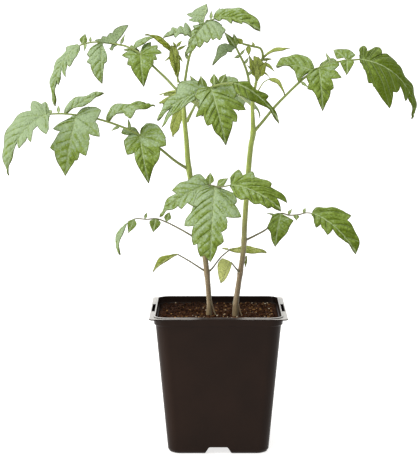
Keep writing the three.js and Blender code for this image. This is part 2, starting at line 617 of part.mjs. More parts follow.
    blades: [
      blade(0.57, [90, -4, 293], [0, -1, 0.4], 60, 8,
        [[3, 15], [29, 30], [40, 26], [52, 30], [56, 20], [64, 15], [79, 9]],
        [[-31, 19], [-35, 36], [-2, 45], [10, 33], [32, 46], [34, 23], [54, 27], [58, 20], [71, 17],
          [85, 8]]),
      blade(0.53, [51, 30, 330], [-0.2, -0.8, 0.8], 50, 5,
        [[18, 26], [35, 36], [53, 35], [73, 33], [97, 28]],
        [[10, 12], [16, 28], [20, 46], [42, 16], [59, 3], [67, 3], [85, 3]]),
      blade(0.88, [111, 2, 324], [0, -1, 0.3], 50, 12,
        [[27, 27], [71, 18]],
        [[28, 29], [72, 14]]),
      blade(0.89, [101, 26, 345], [0, -1, 0.9], 30, 6,
        [[-10, 60], [38, 59], [66, 33]],
        [[27, 3], [47, 39]]),
      blade(1, [172, 34, 284], [0.6, -0.6, 0.53], 105, -8,
        [[6, 11], [14, 22], [20, 31], [26, 32], [34, 37], [48, 39], [61, 40], [54, 25], [52, 10], [61, 13],
          [71, 10], [70, 5], [83, 5]],
        [[4, 18], [16, 28], [30, 33], [38, 26], [58, 27], [80, 17]]),
      leaflet(1, [128, 30, 348], [0, -1, 0.3], 20, 0, 8),
      leaflet(1, [141, 32, 348], [0.5, -0.7, -0.55], 80, 0, 10),
      leaflet(0.69, [94, 24, 343], [0, -1, 0.3], 20, 0, 4),
      leaflet(0.43, [78, 2, 313], [0, -1, 0.3], 30, 0, 4),
    ],
  },
  {
    name: 'frond_right_upper', stem: 'right', radii: [1.1, 0.5],
    rachis: [[30, -6, 306], [27, -8, 315], [25, -10, 325], [22, -12, 334], [18, -14, 342], [15, -16, 348]],
    blades: [
      blade(1, [-5, -26, 333], [-0.3, -0.8, 0.8], 70, 10,
        [[9, 14], [16, 31], [30, 32], [44, 32], [70, 14]],
        [[20, 9], [33, 19], [38, 6], [52, 16], [70, 9]]),
      leaflet(1, [5, -16, 361], [0, -1, 0.3], 30, 0, 6),
      leaflet(1, [13, -16, 360], [0, -1, 0.3], 20, 0, 6),
      leaflet(0.77, [13, -18, 339], [0, -1, 0.3], 30, 0, 4),
      leaflet(0.59, [26, -12, 340], [0, -1, 0.3], 10, 0, 3),
      leaflet(0.78, [23, -14, 347], [0, -1, 0.3], 10, 0, 3),
      leaflet(0.38, [29, -14, 329], [0, -1, 0.3], 20, 0, 4),
    ],
  },
  {
    name: 'leaf_right_tip', stem: 'right', kind: 'youngLeaf', radii: [0.8, 0.45],
    rachis: [[33, -6, 319], [33, -6, 323], [35, -7, 332], [38, -8, 340], [36, -9, 347], [29, -10, 349],
      [21, -11, 351]],
    blades: [
      blade(0.05, [34, -16, 340], [0, -1, 0.2], 30, 10,
        [[37, 18], [66, 33], [90, 12]],
        [[48, 14], [80, 18], [104, 19]]),
      blade(0.47, [61, -10, 347], [0, -0.4, 1], 50, 4,
        [[31, 10], [53, 10], [76, 12]],
        [[24, 16], [48, 18], [75, 10]]),
      leaflet(1, [15, -12, 356], [0, -1, 0.3], 20, 5, 4),
      leaflet(0.16, [44, -12, 321], [0, -1, 0.9], 30, 5, 4),
      leaflet(0.39, [48, -12, 327], [0.6, -0.6, 0.8], 60, 0, 4),
      leaflet(0.43, [47, -4, 338], [0, -1, 0.9], 30, 5, 4),
      leaflet(0.91, [23, -14, 341], [0, -1, 0.3], 20, 0, 4),
      leaflet(0.22, [24, -2, 333], [0, -1, 0.3], 20, 0, 4),
      leaflet(0.8, [29, -10, 353], [0, -1, 0.3], 10, 0, 3),
    ],
  },
  {
    name: 'leaf_right_side', stem: 'right', kind: 'youngLeaf', radii: [0.6, 0.45],
    rachis: [[31, -6, 306], [34, -12, 311], [38, -17, 318], [42, -21, 321]],
    blades: [
      blade(1, [56, -28, 308], [0.2, -0.7, 1], 110, 6,
        [[28, 12], [47, 6], [71, 10]],
        [[17, 12], [43, 17], [70, 6]]),
    ],
  },
  {
    name: 'frond_back_left', stem: 'left', radii: [1, 0.55],
    rachis: [[-29, -9, 291], [-30, 4, 296], [-31, 26, 300], [-32, 50, 303], [-33, 70, 304]],
    blades: [
      blade(0.39, [-40, 34, 268], [-0.4, -0.9, 0.5], 50, 6,
        [[17, 4], [42, 13], [64, 10]],
        [[13, 15], [31, 21], [56, 21]]),
      blade(0.7, [-14, 74, 284], [0.6, 0.2, 1], 60, 6,
        [[12, 8], [24, 30], [36, 36], [40, 24], [56, 30], [62, 18], [80, 18]],
        [[12, 8], [22, 26], [38, 34], [42, 22], [60, 26], [66, 15], [82, 14]]),
      blade(0.62, [-45, 84, 292], [-0.6, 0.2, 1], 60, 6,
        [[12, 8], [20, 28], [34, 34], [38, 20], [58, 26], [64, 16], [80, 14]],
        [[12, 8], [24, 28], [40, 34], [44, 22], [62, 24], [68, 14], [84, 12]]),
      blade(1, [-32, 126, 289], [-0.1, 0.6, 1], 60, 6,
        [[6, 10], [14, 32], [26, 36], [30, 22], [48, 34], [54, 18], [70, 24], [76, 13], [88, 12]],
        [[6, 8], [16, 28], [30, 36], [34, 20], [50, 30], [56, 18], [74, 22], [80, 12], [90, 9]]),
      leaflet(0.45, [-37, 36, 305], [0, -0.5, 1], 20, 0, 6),
      leaflet(0.85, [-20, 62, 307], [0, -0.5, 1], 20, 0, 5),
    ],
  },
  {
    name: 'frond_back_right', stem: 'right', radii: [1, 0.55],
    rachis: [[30, -6, 297], [25, 6, 301], [20, 26, 304], [18, 50, 305], [17, 68, 305]],
    blades: [
      blade(0.42, [37, 32, 285], [0.8, -0.5, 1], 60, 6,
        [[14, 8], [28, 24], [44, 26], [48, 17], [66, 20], [72, 12], [86, 10]],
        [[14, 8], [26, 22], [42, 26], [46, 16], [64, 18], [70, 11], [86, 9]]),
      blade(0.66, [1, 52, 284], [-0.7, 0.2, 1], 60, 6,
        [[12, 8], [24, 28], [38, 34], [42, 22], [58, 28], [64, 16], [82, 14]],
        [[12, 8], [22, 28], [36, 36], [42, 20], [60, 26], [66, 15], [82, 14]]),
      blade(1, [19, 118, 287], [0.1, 0.6, 1], 50, 6,
        [[6, 10], [16, 30], [28, 36], [32, 20], [50, 32], [56, 18], [72, 22], [78, 12], [90, 10]],
        [[6, 8], [14, 32], [26, 37], [30, 22], [46, 33], [54, 18], [70, 25], [76, 13], [88, 11]]),
      leaflet(0.55, [26, 40, 309], [0, -0.5, 1], 20, 0, 6),
      leaflet(0.8, [5, 62, 308], [0, -0.5, 1], 20, 0, 5),
    ],
  },
];

// The plant

const stems = Object.fromEntries(Object.entries(STEMS).map(([side, stem]) => {
  return [side, { solid: stemTube(stem, 0), bore: stemTube(stem, GAP) }];
}));

const group = new THREE.Group();
group.add(meshOf('pot', makePot(), COLOURS.pot, ROUGHNESS.pot));
const bores = Object.values(stems).map(({ bore }) => bore);
group.add(meshOf('soil', makeSoil(bores), COLOURS.soil, ROUGHNESS.soil));
for (const [side, { solid }] of Object.entries(stems)) {
  group.add(meshOf(`stem_${side}`, solid, COLOURS.stem, ROUGHNESS.plant));
}
for (const frond of FRONDS) {
  const colour = COLOURS[frond.kind ?? 'leaf'];
  const solid = makeFrond(frond, stems[frond.stem].bore);
  group.add(meshOf(frond.name, solid, colour, ROUGHNESS.plant));
}

export default group;
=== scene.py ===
"""A young tomato plant in a square nursery pot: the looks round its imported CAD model.

Shapes are worked out in millimetres, in the CAD model's own frame, and go into the meshes in metres.
"""

import itertools
import math

import bpy
import numpy as np
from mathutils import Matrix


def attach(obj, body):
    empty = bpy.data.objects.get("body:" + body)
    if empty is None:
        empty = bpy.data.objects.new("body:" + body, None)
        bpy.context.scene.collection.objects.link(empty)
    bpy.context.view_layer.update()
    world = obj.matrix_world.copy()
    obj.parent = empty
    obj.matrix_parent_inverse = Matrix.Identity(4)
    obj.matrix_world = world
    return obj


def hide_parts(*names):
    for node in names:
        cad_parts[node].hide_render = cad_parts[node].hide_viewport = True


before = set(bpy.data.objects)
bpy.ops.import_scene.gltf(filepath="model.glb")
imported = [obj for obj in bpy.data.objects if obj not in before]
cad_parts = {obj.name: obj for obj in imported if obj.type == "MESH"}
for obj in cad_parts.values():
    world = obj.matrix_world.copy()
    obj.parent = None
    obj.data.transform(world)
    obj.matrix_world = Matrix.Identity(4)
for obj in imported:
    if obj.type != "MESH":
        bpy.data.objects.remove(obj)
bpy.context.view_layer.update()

MM = 0.001
rng = np.random.default_rng(11)

# The photograph's frame in pixels, and the camera that it was measured with
PHOTO = (420, 458)
FOCAL_PIXELS = 1617
SENSOR = 36  # mm
CAMERA_AT = (-7.2, -1400, 373.8)  # mm
CAMERA_DOWN = 7.47  # degrees

# Sizes that the CAD model shares, in mm
WALL = 1.25  # of the pot, and its floor
POT_HEIGHT = 121.5  # to the top of the lip
FLANGE_TOP = 120.5
FLANGE_THICK = 1.3
FLANGE = {"half_x": 59, "half_y": 55.4, "corner": 4}  # the ledge at the rim, wide on the left and the right
PAST = 5  # how far a cutting shape reaches past what it cuts
STEP_HEIGHT = 113.6  # where the wall steps out to the rim
FOOT = {"bottom": 23.5, "top": 16.5, "height": 6.3, "inner": 9.5}  # the drainage notch under each side
DRAIN = {"radius": 4, "sides": 32, "from": 27}  # the hole in each notch's roof, rounder than in the solids
SOIL_TOP = 114
SOIL_WAVE = 0.5  # how far the soil's surface rises and falls
STALK = 1.4  # width of a blade's stalk where it leaves the rachis
MARGIN_DROOP = 0.006  # how a blade's margin turns down, per mm squared from the midrib
PETIOLE_FOOT = {"swell": 0.4, "reach": 4}  # how a petiole thickens at the stem

# The slot along each wide ledge, a little wider than in the solids, and blind over a thin skin, so that it
# looks like a groove
SLOT = {"inner": 55.2, "outer": 58, "half": 18, "skin": 0.3}

# The pot's outer wall and its inside: half the width, the corner radius and the height
OUTER = [
    (39.6, 7, 0), (42.2, 8.5, 1.2), (43.6, 9.5, 3.6),
    (53.6, 11, STEP_HEIGHT), (54.8, 11.5, STEP_HEIGHT + 0.9),
    (55.2, 11.5, FLANGE_TOP - 1), (55.2, 11.5, POT_HEIGHT - 0.5), (54.7, 11, POT_HEIGHT),
]
INNER = [
    (40.6, 8, WALL), (42.3, 9, 3.9), (52.4, 10, STEP_HEIGHT + 1.4), (53.5, 10.3, STEP_HEIGHT + 2.3),
    (53.9, 10.3, POT_HEIGHT + 1),
]


# Meshes


def shell(points, faces, paint=0, **values):
    """A closed surface: its points in mm, its faces as arrays of corners, the number of its material, and
    named numbers that its points carry for the material."""
    return {"points": np.asarray(points, float), "faces": faces, "paint": paint, "values": values}


def piece(name, shells, materials, sharp=50):
    """One mesh of several shells, smooth but for edges of more than `sharp` degrees."""
    sizes = [len(part["points"]) for part in shells]
    starts = np.cumsum([0, *sizes])
    corners = []
    counts = []
    paints = []
    for start, part in zip(starts, shells):
        for faces in part["faces"]:
            corners.append((faces + start).ravel())
            counts.append(np.full(len(faces), faces.shape[1]))
            paints.append(np.full(len(faces), part["paint"]))
    corners, counts, paints = (np.concatenate(part).astype(np.int32) for part in (corners, counts, paints))
    mesh = bpy.data.meshes.new(name)
    mesh.vertices.add(starts[-1])
    points = np.concatenate([part["points"] for part in shells]) * MM
    mesh.vertices.foreach_set("co", points.astype(np.float32).ravel())
    mesh.loops.add(len(corners))
    mesh.loops.foreach_set("vertex_index", corners)
    mesh.polygons.add(len(counts))
    mesh.polygons.foreach_set("loop_start", np.cumsum(counts) - counts)
    mesh.polygons.foreach_set("material_index", paints)
    for key in sorted({key for part in shells for key in part["values"]}):
        numbers = [np.broadcast_to(part["values"].get(key, 0), size) for part, size in zip(shells, sizes)]
        made = mesh.attributes.new(key, "FLOAT", "POINT")
        made.data.foreach_set("value", np.concatenate(numbers).astype(np.float32))
    for material in materials:
        mesh.materials.append(material)
    mesh.update(calc_edges=True)
    mesh.validate()
    mesh.shade_smooth()
    mesh.set_sharp_from_angle(angle=math.radians(sharp))
    made = bpy.data.objects.new(name, mesh)
    bpy.context.scene.collection.objects.link(made)
    return made


def sheet_faces(rows, columns):
    """Faces of a thin closed sheet: rows x columns points of its upper side, then as many of its lower
    side."""
    count = rows * columns
    grid = np.arange(count).reshape(rows, columns)
    upper = np.stack([grid[:-1, :-1], grid[:-1, 1:], grid[1:, 1:], grid[1:, :-1]], -1).reshape(-1, 4)
    edge = np.concatenate([grid[0, :-1], grid[:-1, -1], grid[-1, :0:-1], grid[:0:-1, 0]])
    following = np.roll(edge, -1)
    rim = np.stack([following, edge, edge + count, following + count], -1)
    return [upper, upper[:, ::-1] + count, rim]


def tube_faces(rows, sides):
    """Faces of a closed tube: rows rings of `sides` points, then the middles of its first and its last
    ring."""
    grid = np.arange(rows * sides).reshape(rows, sides)
    turned = np.roll(grid, -1, axis=1)
    wall = np.stack([grid[:-1], turned[:-1], turned[1:], grid[1:]], -1).reshape(-1, 4)
    first = np.full(sides, rows * sides)
    caps = [np.stack([first, turned[0], grid[0]], -1), np.stack([first + 1, grid[-1], turned[-1]], -1)]
    return [wall, np.concatenate(caps)]


def capped(rings):
    """The points of rings (rows x sides x 3), with the middle of the first and of the last ring after
    them."""
    ends = [rings[0].mean(axis=0), rings[-1].mean(axis=0)]
    return np.concatenate([rings.reshape(-1, 3), ends])


def unit(vectors):
    """Each vector divided by its length."""
    return vectors / np.linalg.norm(vectors, axis=-1, keepdims=True)


# Stems, petioles and rachises


def curve_at(points, share):
    """Points of the uniform Catmull-Rom curve through a list: on each stretch a cubic of its two ends and
    their neighbours. The neighbours past the ends are mirrored."""
    p = np.asarray(points, float)
    p = np.concatenate([2 * p[:1] - p[1:2], p, 2 * p[-1:] - p[-2:-1]])
    place = np.atleast_1d(share) * (len(p) - 3)
    low = np.clip(place.astype(int), 0, len(p) - 4)
    u = (place - low)[:, None]
    a, b, c, d = p[low], p[low + 1], p[low + 2], p[low + 3]
    return b + u / 2 * (c - a + u * (2 * a - 5 * b + 4 * c - d + u * (3 * b - a - 3 * c + d)))


def tube_frame(points, share):
    """Middle, two directions across and the way so far, at shares of a curve: the first direction is the axis
    that the curve runs along least, made square to the curve, and the second is square to both."""
    centre = curve_at(points, share)
    ahead = unit(np.gradient(centre, axis=0))
    reach = np.abs(centre[-1] - centre[0])
    across = np.eye(3)[np.argmin(reach)]
    across = unit(across - (ahead @ across)[:, None] * ahead)
    steps = np.linalg.norm(np.diff(centre, axis=0), axis=1)
    return centre, across, np.cross(ahead, across), np.concatenate([[0], np.cumsum(steps)])


def spread(values, share):
    """Linear between values that are spread evenly over the way."""
    return np.interp(share, np.linspace(0, 1, len(values)), values)


def tube(points, radius_at, sides, step):
    """Rings round a curve, `step` mm apart: radius_at gives the radius from the share of the way, the
    distance in mm and the angle. A point stands off the curve by its radius, on the direction across that its
    angle turns to."""
    rough = np.linalg.norm(np.diff(points, axis=0), axis=1).sum()
    share = np.linspace(0, 1, max(3, round(rough / step)) + 1)
    centre, across, up, way = tube_frame(points, share)
    angle = np.linspace(0, 2 * math.pi, sides, endpoint=False)
    radius = radius_at(share[:, None], way[:, None], angle[None, :]) * np.ones((len(share), sides))
    outward = np.cos(angle)[:, None] * across[:, None] + np.sin(angle)[:, None] * up[:, None]
    return centre[:, None] + radius[..., None] * outward


# Blades
#
# A blade is flat at first, in shares of its straight length: t runs along the midrib and w across it. Then it
# goes round the arc of its midrib, and its halves are lifted and drooped.

# How far a side vein may run forward for each step outwards, in the order in which the slopes are tried
VEIN_SLOPES = (1.1, 0.9, 0.7, 0.55, 0.4, 0.25, 0.1, 1.5, 2.1)
FOLD_ALLOWED = 2  # how much more than the least a half may fold, in mm2, so that its veins run forward
VEIN_BOW = 0.35  # how much a side vein sags towards the base on its way
VEIN_GAP = 0.012  # least share of the midrib between two side veins
FOLD_TRIALS = 120  # lines across a half on which its folds are counted
PLACE_DIGITS = 4  # a place on the midrib is rounded to so many, so that equal ones are found
EDGE_STEP = 1.3  # about how far apart the points of the edge are, in mm
CORNER_TURN = 26  # degrees: where the outline turns by less it is smooth, and by more it has a corner
EDGE_BOW = 0.24  # slope of the edge at a corner, against the straight line to the next point
TEETH = {"pitch": 4.4, "height": 1.1}  # the small teeth on the edge, in mm
COLUMNS = np.array([0, 0.05, 0.14, 0.28, 0.44, 0.6, 0.76, 0.9, 1])  # shares of the way out to the edge
BLADE_THICK = 0.42
PUFF = {"height": 1.6, "reach": 1.6, "skew": 0.7}  # the blade stands up between its veins
GROOVE = {"depth": 0.4, "reach": 0.9}  # and sinks along the midrib
MARGIN_WAVE = {"height": 0.9, "pitch": 17}
FULL_RELIEF = 45  # a blade that is shorter, in mm, has lower puffs and waves and a shallower groove
FULL_MARGIN = 30  # a blade that is shorter, in mm, has a narrower dark margin
VEIN_PITCH = 6.5  # about how far apart the side veins start on the midrib, in mm
FINE_VEIN = 0.35  # how much further off a vein counts that doesn't end at a lobe's tip, in mm
# A small leaflet's outline: how far along, and how far out as a share of half its width
SMALL_OUTLINE = [(0.12, 0.3), (0.22, 0.72), (0.32, 1), (0.47, 0.97), (0.6, 0.8), (0.75, 0.52), (0.88, 0.24)]
TIP_WIDTH = 0.3  # of a blade at its tip, in mm
BRIGHT_SIDE = (-0.5, -0.35, 0.79)  # the light's direction, which the leaves' painted light and shade follow


def blade(at, tip, face, bend, cup, left, right):
    """A blade from the share `at` of its rachis to `tip`. Its midrib turns through `bend` degrees, its upper
    side looks towards `face`, and its halves rise by `cup` degrees. left and right hold the lobe tips and
    notches, in percent of the straight length: how far along, and how far out."""
    return {"at": at, "tip": tip, "face": face, "bend": bend, "cup": cup, "sides": [left, right]}


def leaflet(at, tip, face, bend, cup, width):
    """A small plain leaflet, `width` mm wide."""
    return {"at": at, "tip": tip, "face": face, "bend": bend, "cup": cup, "width": width}


def half_outline(leaf, side, chord):
    """One half's outline in shares of the straight length, from the stalk to the tip: the named points,
    between half the stalk's width at the start and half the tip's at the end. Where the first of them lies
    behind the stalk, the start turns towards it."""
    if "width" in leaf:
        middle = [(t, out * leaf["width"] / 2 / chord) for t, out in SMALL_OUTLINE]
    else:
        middle = np.array(leaf["sides"][side]) / 100
    outline = np.array([(0, STALK / 2 / chord), *middle, (1, TIP_WIDTH / 2 / chord)], float)
    if outline[1, 0] < 0:
        outline[0] = STALK / 2 / chord * unit(outline[1])
    return outline


def vein_roots(outline, slope):
    """Where on the midrib the vein to each point of an outline starts: as far back from the point as it is
    far out, times the slope, and always further on than the one before."""
    order = np.arange(len(outline))
    roots = np.clip(outline[:, 0] - slope * outline[:, 1], 0, 1)
    roots[[0, -1]] = 0, 1
    roots = np.maximum.accumulate(roots - order * VEIN_GAP) + order * VEIN_GAP
    return np.round(np.minimum(roots, 1 - (order[-1] - order) * VEIN_GAP), PLACE_DIGITS)


def edge_slopes(outline):
    """How steeply the edge leaves each stretch's straight line at its start, and meets it again at its end.
    At a gentle turn both neighbours share the direction from the point before to the point after; at a corner
    the edge is bowed outwards."""
    run = unit(np.diff(outline, axis=0))
    turn = np.arctan2(run[:-1, 0] * run[1:, 1] - run[:-1, 1] * run[1:, 0], (run[:-1] * run[1:]).sum(axis=1))
    smooth = np.abs(turn) < math.radians(CORNER_TURN)
    through = unit(outline[2:] - outline[:-2])

    def slope(line):
        """The slope of the shared direction against a line: its part across it, over its part along it."""
        return (line[:, 0] * through[:, 1] - line[:, 1] * through[:, 0]) / (line * through).sum(axis=1)

    starts = np.append(0, np.where(smooth, slope(run[1:]), EDGE_BOW))
    ends = np.append(np.where(smooth, slope(run[:-1]), -EDGE_BOW), 0)
    return starts, ends


def half_points(outline, roots, along, chord):
    """One half of the flat blade: from each midrib place in `along` a line runs to the outline. Where it runs
    forward it sags towards the base, by VEIN_BOW times the share of the way times the rest of it. Each
    stretch of the outline is a straight line with a cubic added across it, and carries small teeth on its way
    out."""
    low = np.clip(np.searchsorted(roots, along, side="right") - 1, 0, len(outline) - 2)
    share = ((along - roots[low]) / (roots[low + 1] - roots[low]))[:, None]
    run = outline[low + 1] - outline[low]
    length = np.linalg.norm(run, axis=1, keepdims=True)
    outward = np.stack([-run[:, 1], run[:, 0]], 1) / length
    starts, ends = (slope[low][:, None] for slope in edge_slopes(outline))
    bend = share * (1 - share) * (starts * (1 - share) - ends * share) * length
    teeth = np.floor(length * chord / TEETH["pitch"])
    toothed = (teeth > 1) & (run[:, 1:] > 0)
    saw = np.where(toothed, (share * teeth) % 1 * (1 - share), 0) * TEETH["height"] / chord
    edge = outline[low] + run * share + outward * (bend + saw)
    root = np.stack([along, np.zeros_like(along)], 1)
    v = COLUMNS[None, :, None]
    points = root[:, None] * (1 - v) + edge[:, None] * v
    forward = np.maximum(0, edge[:, :1] - along[:, None])
    points[..., 0] -= VEIN_BOW * COLUMNS * (1 - COLUMNS) * forward
    return points


def folded(points):
    """How much of a flat half lies upside down: the sum of its cells' negative areas."""
    one = points[1:, 1:] - points[:-1, :-1]
    two = points[:-1, 1:] - points[1:, :-1]
    return np.maximum(0, one[..., 1] * two[..., 0] - one[..., 0] * two[..., 1]).sum()


def best_roots(outline, chord):
    """The vein roots of the first slope that folds the half by at most FOLD_ALLOWED more than the best of
    them."""
    trial = np.linspace(0, 1, FOLD_TRIALS)
    choices = [vein_roots(outline, slope) for slope in VEIN_SLOPES]
    folds = np.array([folded(half_points(outline, roots, trial, chord)) for roots in choices]) * chord ** 2
    return choices[int(np.argmax(folds <= folds.min() + FOLD_ALLOWED))]


def midrib_places(outlines, roots, chord):
    """The places on the midrib from which lines run out to both edges: the roots of all the veins, and evenly
    between two of them as many more as put the edge's points about EDGE_STEP apart."""
    marks = [np.ones(1)]
    for outline, starts in zip(outlines, roots):
        steps = np.ceil(np.linalg.norm(np.diff(outline, axis=0), axis=1) * chord / EDGE_STEP).astype(int)
        marks += [np.linspace(a, b, max(n, 2), endpoint=False) for a, b, n in zip(starts, starts[1:], steps)]
    return np.unique(np.round(np.concatenate(marks), PLACE_DIGITS))


def vein_and_margin(outline, roots, points, chord):
    """How far the points of a flat half are from the nearest side vein and from the margin, in mm: from the
    point of the vein that is as far on its way out, and from the end of the point's own line. A main vein
    runs to each lobe's tip, where the outline turns back inwards, and finer veins start about VEIN_PITCH
    apart between the main ones."""
    before, after = np.diff(outline, axis=0)[:-1], np.diff(outline, axis=0)[1:]
    turn = before[:, 0] * after[:, 1] - before[:, 1] * after[:, 0]
    main = np.array([0, *roots[1:-1][turn < 0], 1])
    fine = [np.linspace(a, b, max(1, round((b - a) * chord / VEIN_PITCH)), endpoint=False)[1:]
            for a, b in zip(main, main[1:])]
    apart = []
    for veins, further in ((main, 0), (np.concatenate(fine), FINE_VEIN)):
        lines = half_points(outline, roots, veins, chord)
        apart.append(np.linalg.norm(points[:, None] - lines[None], axis=-1) * chord + further)
    lateral = np.concatenate(apart, axis=1).min(axis=1)
    margin = np.linalg.norm(points - points[:, -1:], axis=-1) * max(chord, FULL_MARGIN)
    return lateral, margin


def side_by_side(halves):
    """Both halves as one grid: the second from its edge inwards, then the first from the midrib outwards."""
    return np.concatenate([halves[1][:, :0:-1], halves[0]], axis=1)


def relief(t, w, lateral, chord, phase):
    """How far each point stands off the smooth blade, in mm. It rises by PUFF with its distance from the side
    veins, as half a sine on the way from the midrib to the edge that peaks before the middle. It sinks along
    the midrib by GROOVE. And it waves by MARGIN_WAVE along the blade, with the square of the way out. A blade
    shorter than FULL_RELIEF has less of all three."""
    size = min(1, chord / FULL_RELIEF)
    v = np.concatenate([COLUMNS[:0:-1], COLUMNS])
    between_veins = 1 - np.exp(-lateral / PUFF["reach"])
    height = PUFF["height"] * size * between_veins * np.sin(np.pi * v ** PUFF["skew"])
    height -= GROOVE["depth"] * size * np.exp(-(np.abs(w) * chord / GROOVE["reach"]) ** 2)
    wave = np.sin(2 * np.pi * t * chord / MARGIN_WAVE["pitch"] + phase + np.sign(w))
    return height + MARGIN_WAVE["height"] * size * v ** 2 * wave


def blade_shell(leaf, base, paint, tone, phase):
    """The closed, thin surface of one blade, from its place on the rachis. Its midrib is an arc of `bend`
    degrees over the straight way to the tip. A point goes t of the way round the arc, w aside, and off the
    arc by its lift: its half rises by `cup` degrees, droops with the square of the way out and has its
    relief. The two sides are half the thickness above and below."""
    ahead = np.asarray(leaf["tip"], float) - base
    chord = np.linalg.norm(ahead)
    ahead /= chord
    up = np.asarray(leaf["face"], float)
    up = unit(up - up @ ahead * ahead)
    side = np.cross(ahead, up)
    outlines = [half_outline(leaf, k, chord) for k in (0, 1)]
    roots = [best_roots(outline, chord) for outline in outlines]
    along = midrib_places(outlines, roots, chord)
    halves = [half_points(outline, starts, along, chord) for outline, starts in zip(outlines, roots)]
    distances = [vein_and_margin(*half, chord) for half in zip(outlines, roots, halves)]
    lateral, margin = (side_by_side(pair) for pair in zip(*distances))
    flat = side_by_side([halves[0], halves[1] * (1, -1)])
    t, w = flat[..., 0], flat[..., 1]
    out = np.abs(w) * chord
    height = relief(t, w, lateral, chord, phase)
    half = math.radians(leaf["bend"]) / 2
    radius = chord / (2 * math.sin(half))
    angle = half - 2 * half * t
    tilt = math.radians(leaf["cup"])
    shape = []
    for offset in (BLADE_THICK / 2, -BLADE_THICK / 2):
        lift = out * math.sin(tilt) - MARGIN_DROOP * out ** 2 + height + offset
        run = radius * (math.sin(half) - np.sin(angle)) - lift * np.sin(angle)
        rise = radius * (np.cos(angle) - math.cos(half)) + lift * np.cos(angle)
        wide = np.sign(w) * out * math.cos(tilt)
        shape.append(base + run[..., None] * ahead + rise[..., None] * up + wide[..., None] * side)
    across, onward = np.gradient(shape[0], axis=1), np.gradient(shape[0], axis=0)
    # How far each point's upper side looks towards BRIGHT_SIDE, which the painted light and shade follow
    facing = unit(np.cross(across, onward)) @ np.array(BRIGHT_SIDE)
    fields = {"rib": out, "lateral": lateral, "margin": margin, "along": np.clip(t, 0, 1), "facing": facing}
    carried = {key: np.concatenate([field.ravel()] * 2) for key, field in fields.items()}
    under = np.repeat([0.0, 1.0], t.size)
    points = np.concatenate([part.reshape(-1, 3) for part in shape])
    return shell(points, sheet_faces(*t.shape), paint, under=under, tone=tone, **carried)


# Materials


def colour(code):
    """An sRGB hex value as linear red, green, blue and alpha."""
    parts = np.array([code >> 16, code >> 8 & 255, code & 255]) / 255
    linear = np.where(parts <= 0.04045, parts / 12.92, ((parts + 0.055) / 1.055) ** 2.4)
    return (*linear.tolist(), 1)


def add_node(tree, kind, inputs=None, **settings):
    """Adds a node. settings are its own properties, and inputs fills its sockets, by name or number: with a
    value, or with the output socket of another node."""
    made = tree.nodes.new(kind)
    for name, value in settings.items():
        setattr(made, name, value)
    for name, value in (inputs or {}).items():
        if isinstance(value, bpy.types.NodeSocket):
            tree.links.new(value, made.inputs[name])
        else:
            made.inputs[name].default_value = value
    return made


# The numbers of a colour Mix node's sockets: those that go in, and the one that comes out
FACTOR, FIRST, SECOND = 0, 6, 7
MIXED = 2

# Sizes of the patterns on leaf, stem and pot, in mm. The net of small veins, the stem's streaks and the
# mould's grain would be too fine to see in the picture, so they are drawn as coarse as they need to show.
LEAF_PATCH = 6
VEIN_NET = 3
STREAK = {"width": 0.9, "length": 7.5}
STEM_BLOTCH = 7
FLOW_MARK = 28
MOULD_GRAIN = 0.6

# How much each thing deepens a leaf's green, where 1 is the whole way from pale to deep
# tip, bright_side and quilting are painted light and shade: sheen, light shining through, lit side, puffs
DEEPER = {"patches": 1.4, "tip": 0.3, "all": 0.1, "bright_side": -0.6, "quilting": -0.28}

BLOTCH_SHIFT = 0.03  # how far a stem's change from brown to green wanders up and down, in m
SIDE_SHADING = 0.42  # painted light and shade: how much paler a stem is on its light side, and darker on the other
GLINT_SPAN = {"from": 14, "to": 24}  # from and to: the rim's painted reflection left and right of the middle, in mm
GLOSS_RANGE = 0.04  # how far the pot's roughness goes up and down with the flow marks


def new_material(name):
    """An empty material with its node tree, and the piece's own coordinates, which its patterns follow."""
    material = bpy.data.materials.new(name)
    material.use_nodes = True
    tree = material.node_tree
    tree.nodes.clear()
    place = add_node(tree, "ShaderNodeTexCoord").outputs["Object"]
    return material, tree, place


def green_depth(tree, place, carried, quilt):
    """How deep a leaf's green is, from 0 to 1: its blade's own tone, deeper in soft patches, and painted
    light
    and shade: paler with a sheen towards the base and deeper with light shining through towards the tip,
    deeper away from the bright side and beside the side veins, as painted shade, and paler where the leaf
    stands up inside the net of small veins, as a painted highlight."""
    patches = add_node(tree, "ShaderNodeTexNoise", {"Vector": place, "Detail": 3,
                                                    "Scale": 1 / (LEAF_PATCH * MM)})
    shift = add_node(tree, "ShaderNodeMath", {0: patches.outputs["Fac"], 1: DEEPER["patches"],
                                              2: -DEEPER["patches"] / 2}, operation="MULTIPLY_ADD")
    # Painted light: a sheen towards the base, light shining through at the tip, and a paler lit side
    towards_tip = add_node(tree, "ShaderNodeMath", {0: carried["along"], 1: DEEPER["tip"], 2: DEEPER["all"]},
                           operation="MULTIPLY_ADD")
    shaded = add_node(tree, "ShaderNodeMath", {0: carried["facing"], 1: DEEPER["bright_side"],
                                               2: towards_tip.outputs[0]}, operation="MULTIPLY_ADD")
    depth = add_node(tree, "ShaderNodeMath", {0: shift.outputs[0], 1: shaded.outputs[0]}, operation="ADD")
    # Painted shade in the creases beside the side veins
    crease = add_node(tree, "ShaderNodeMapRange", {"Value": carried["lateral"], "From Min": 0.4,
                                                   "From Max": 1.7, "To Min": 0.25, "To Max": -0.05})
    depth = add_node(tree, "ShaderNodeMath", {0: depth.outputs[0], 1: crease.outputs[0]}, operation="ADD")
    # Painted highlights where the leaf puffs up inside the net of small veins
    depth = add_node(tree, "ShaderNodeMath", {0: quilt, 1: DEEPER["quilting"], 2: depth.outputs[0]},
                     operation="MULTIPLY_ADD")
    depth = add_node(tree, "ShaderNodeMath", {0: depth.outputs[0], 1: carried["tone"]}, operation="ADD",
                     use_clamp=True)
    return depth.outputs[0]


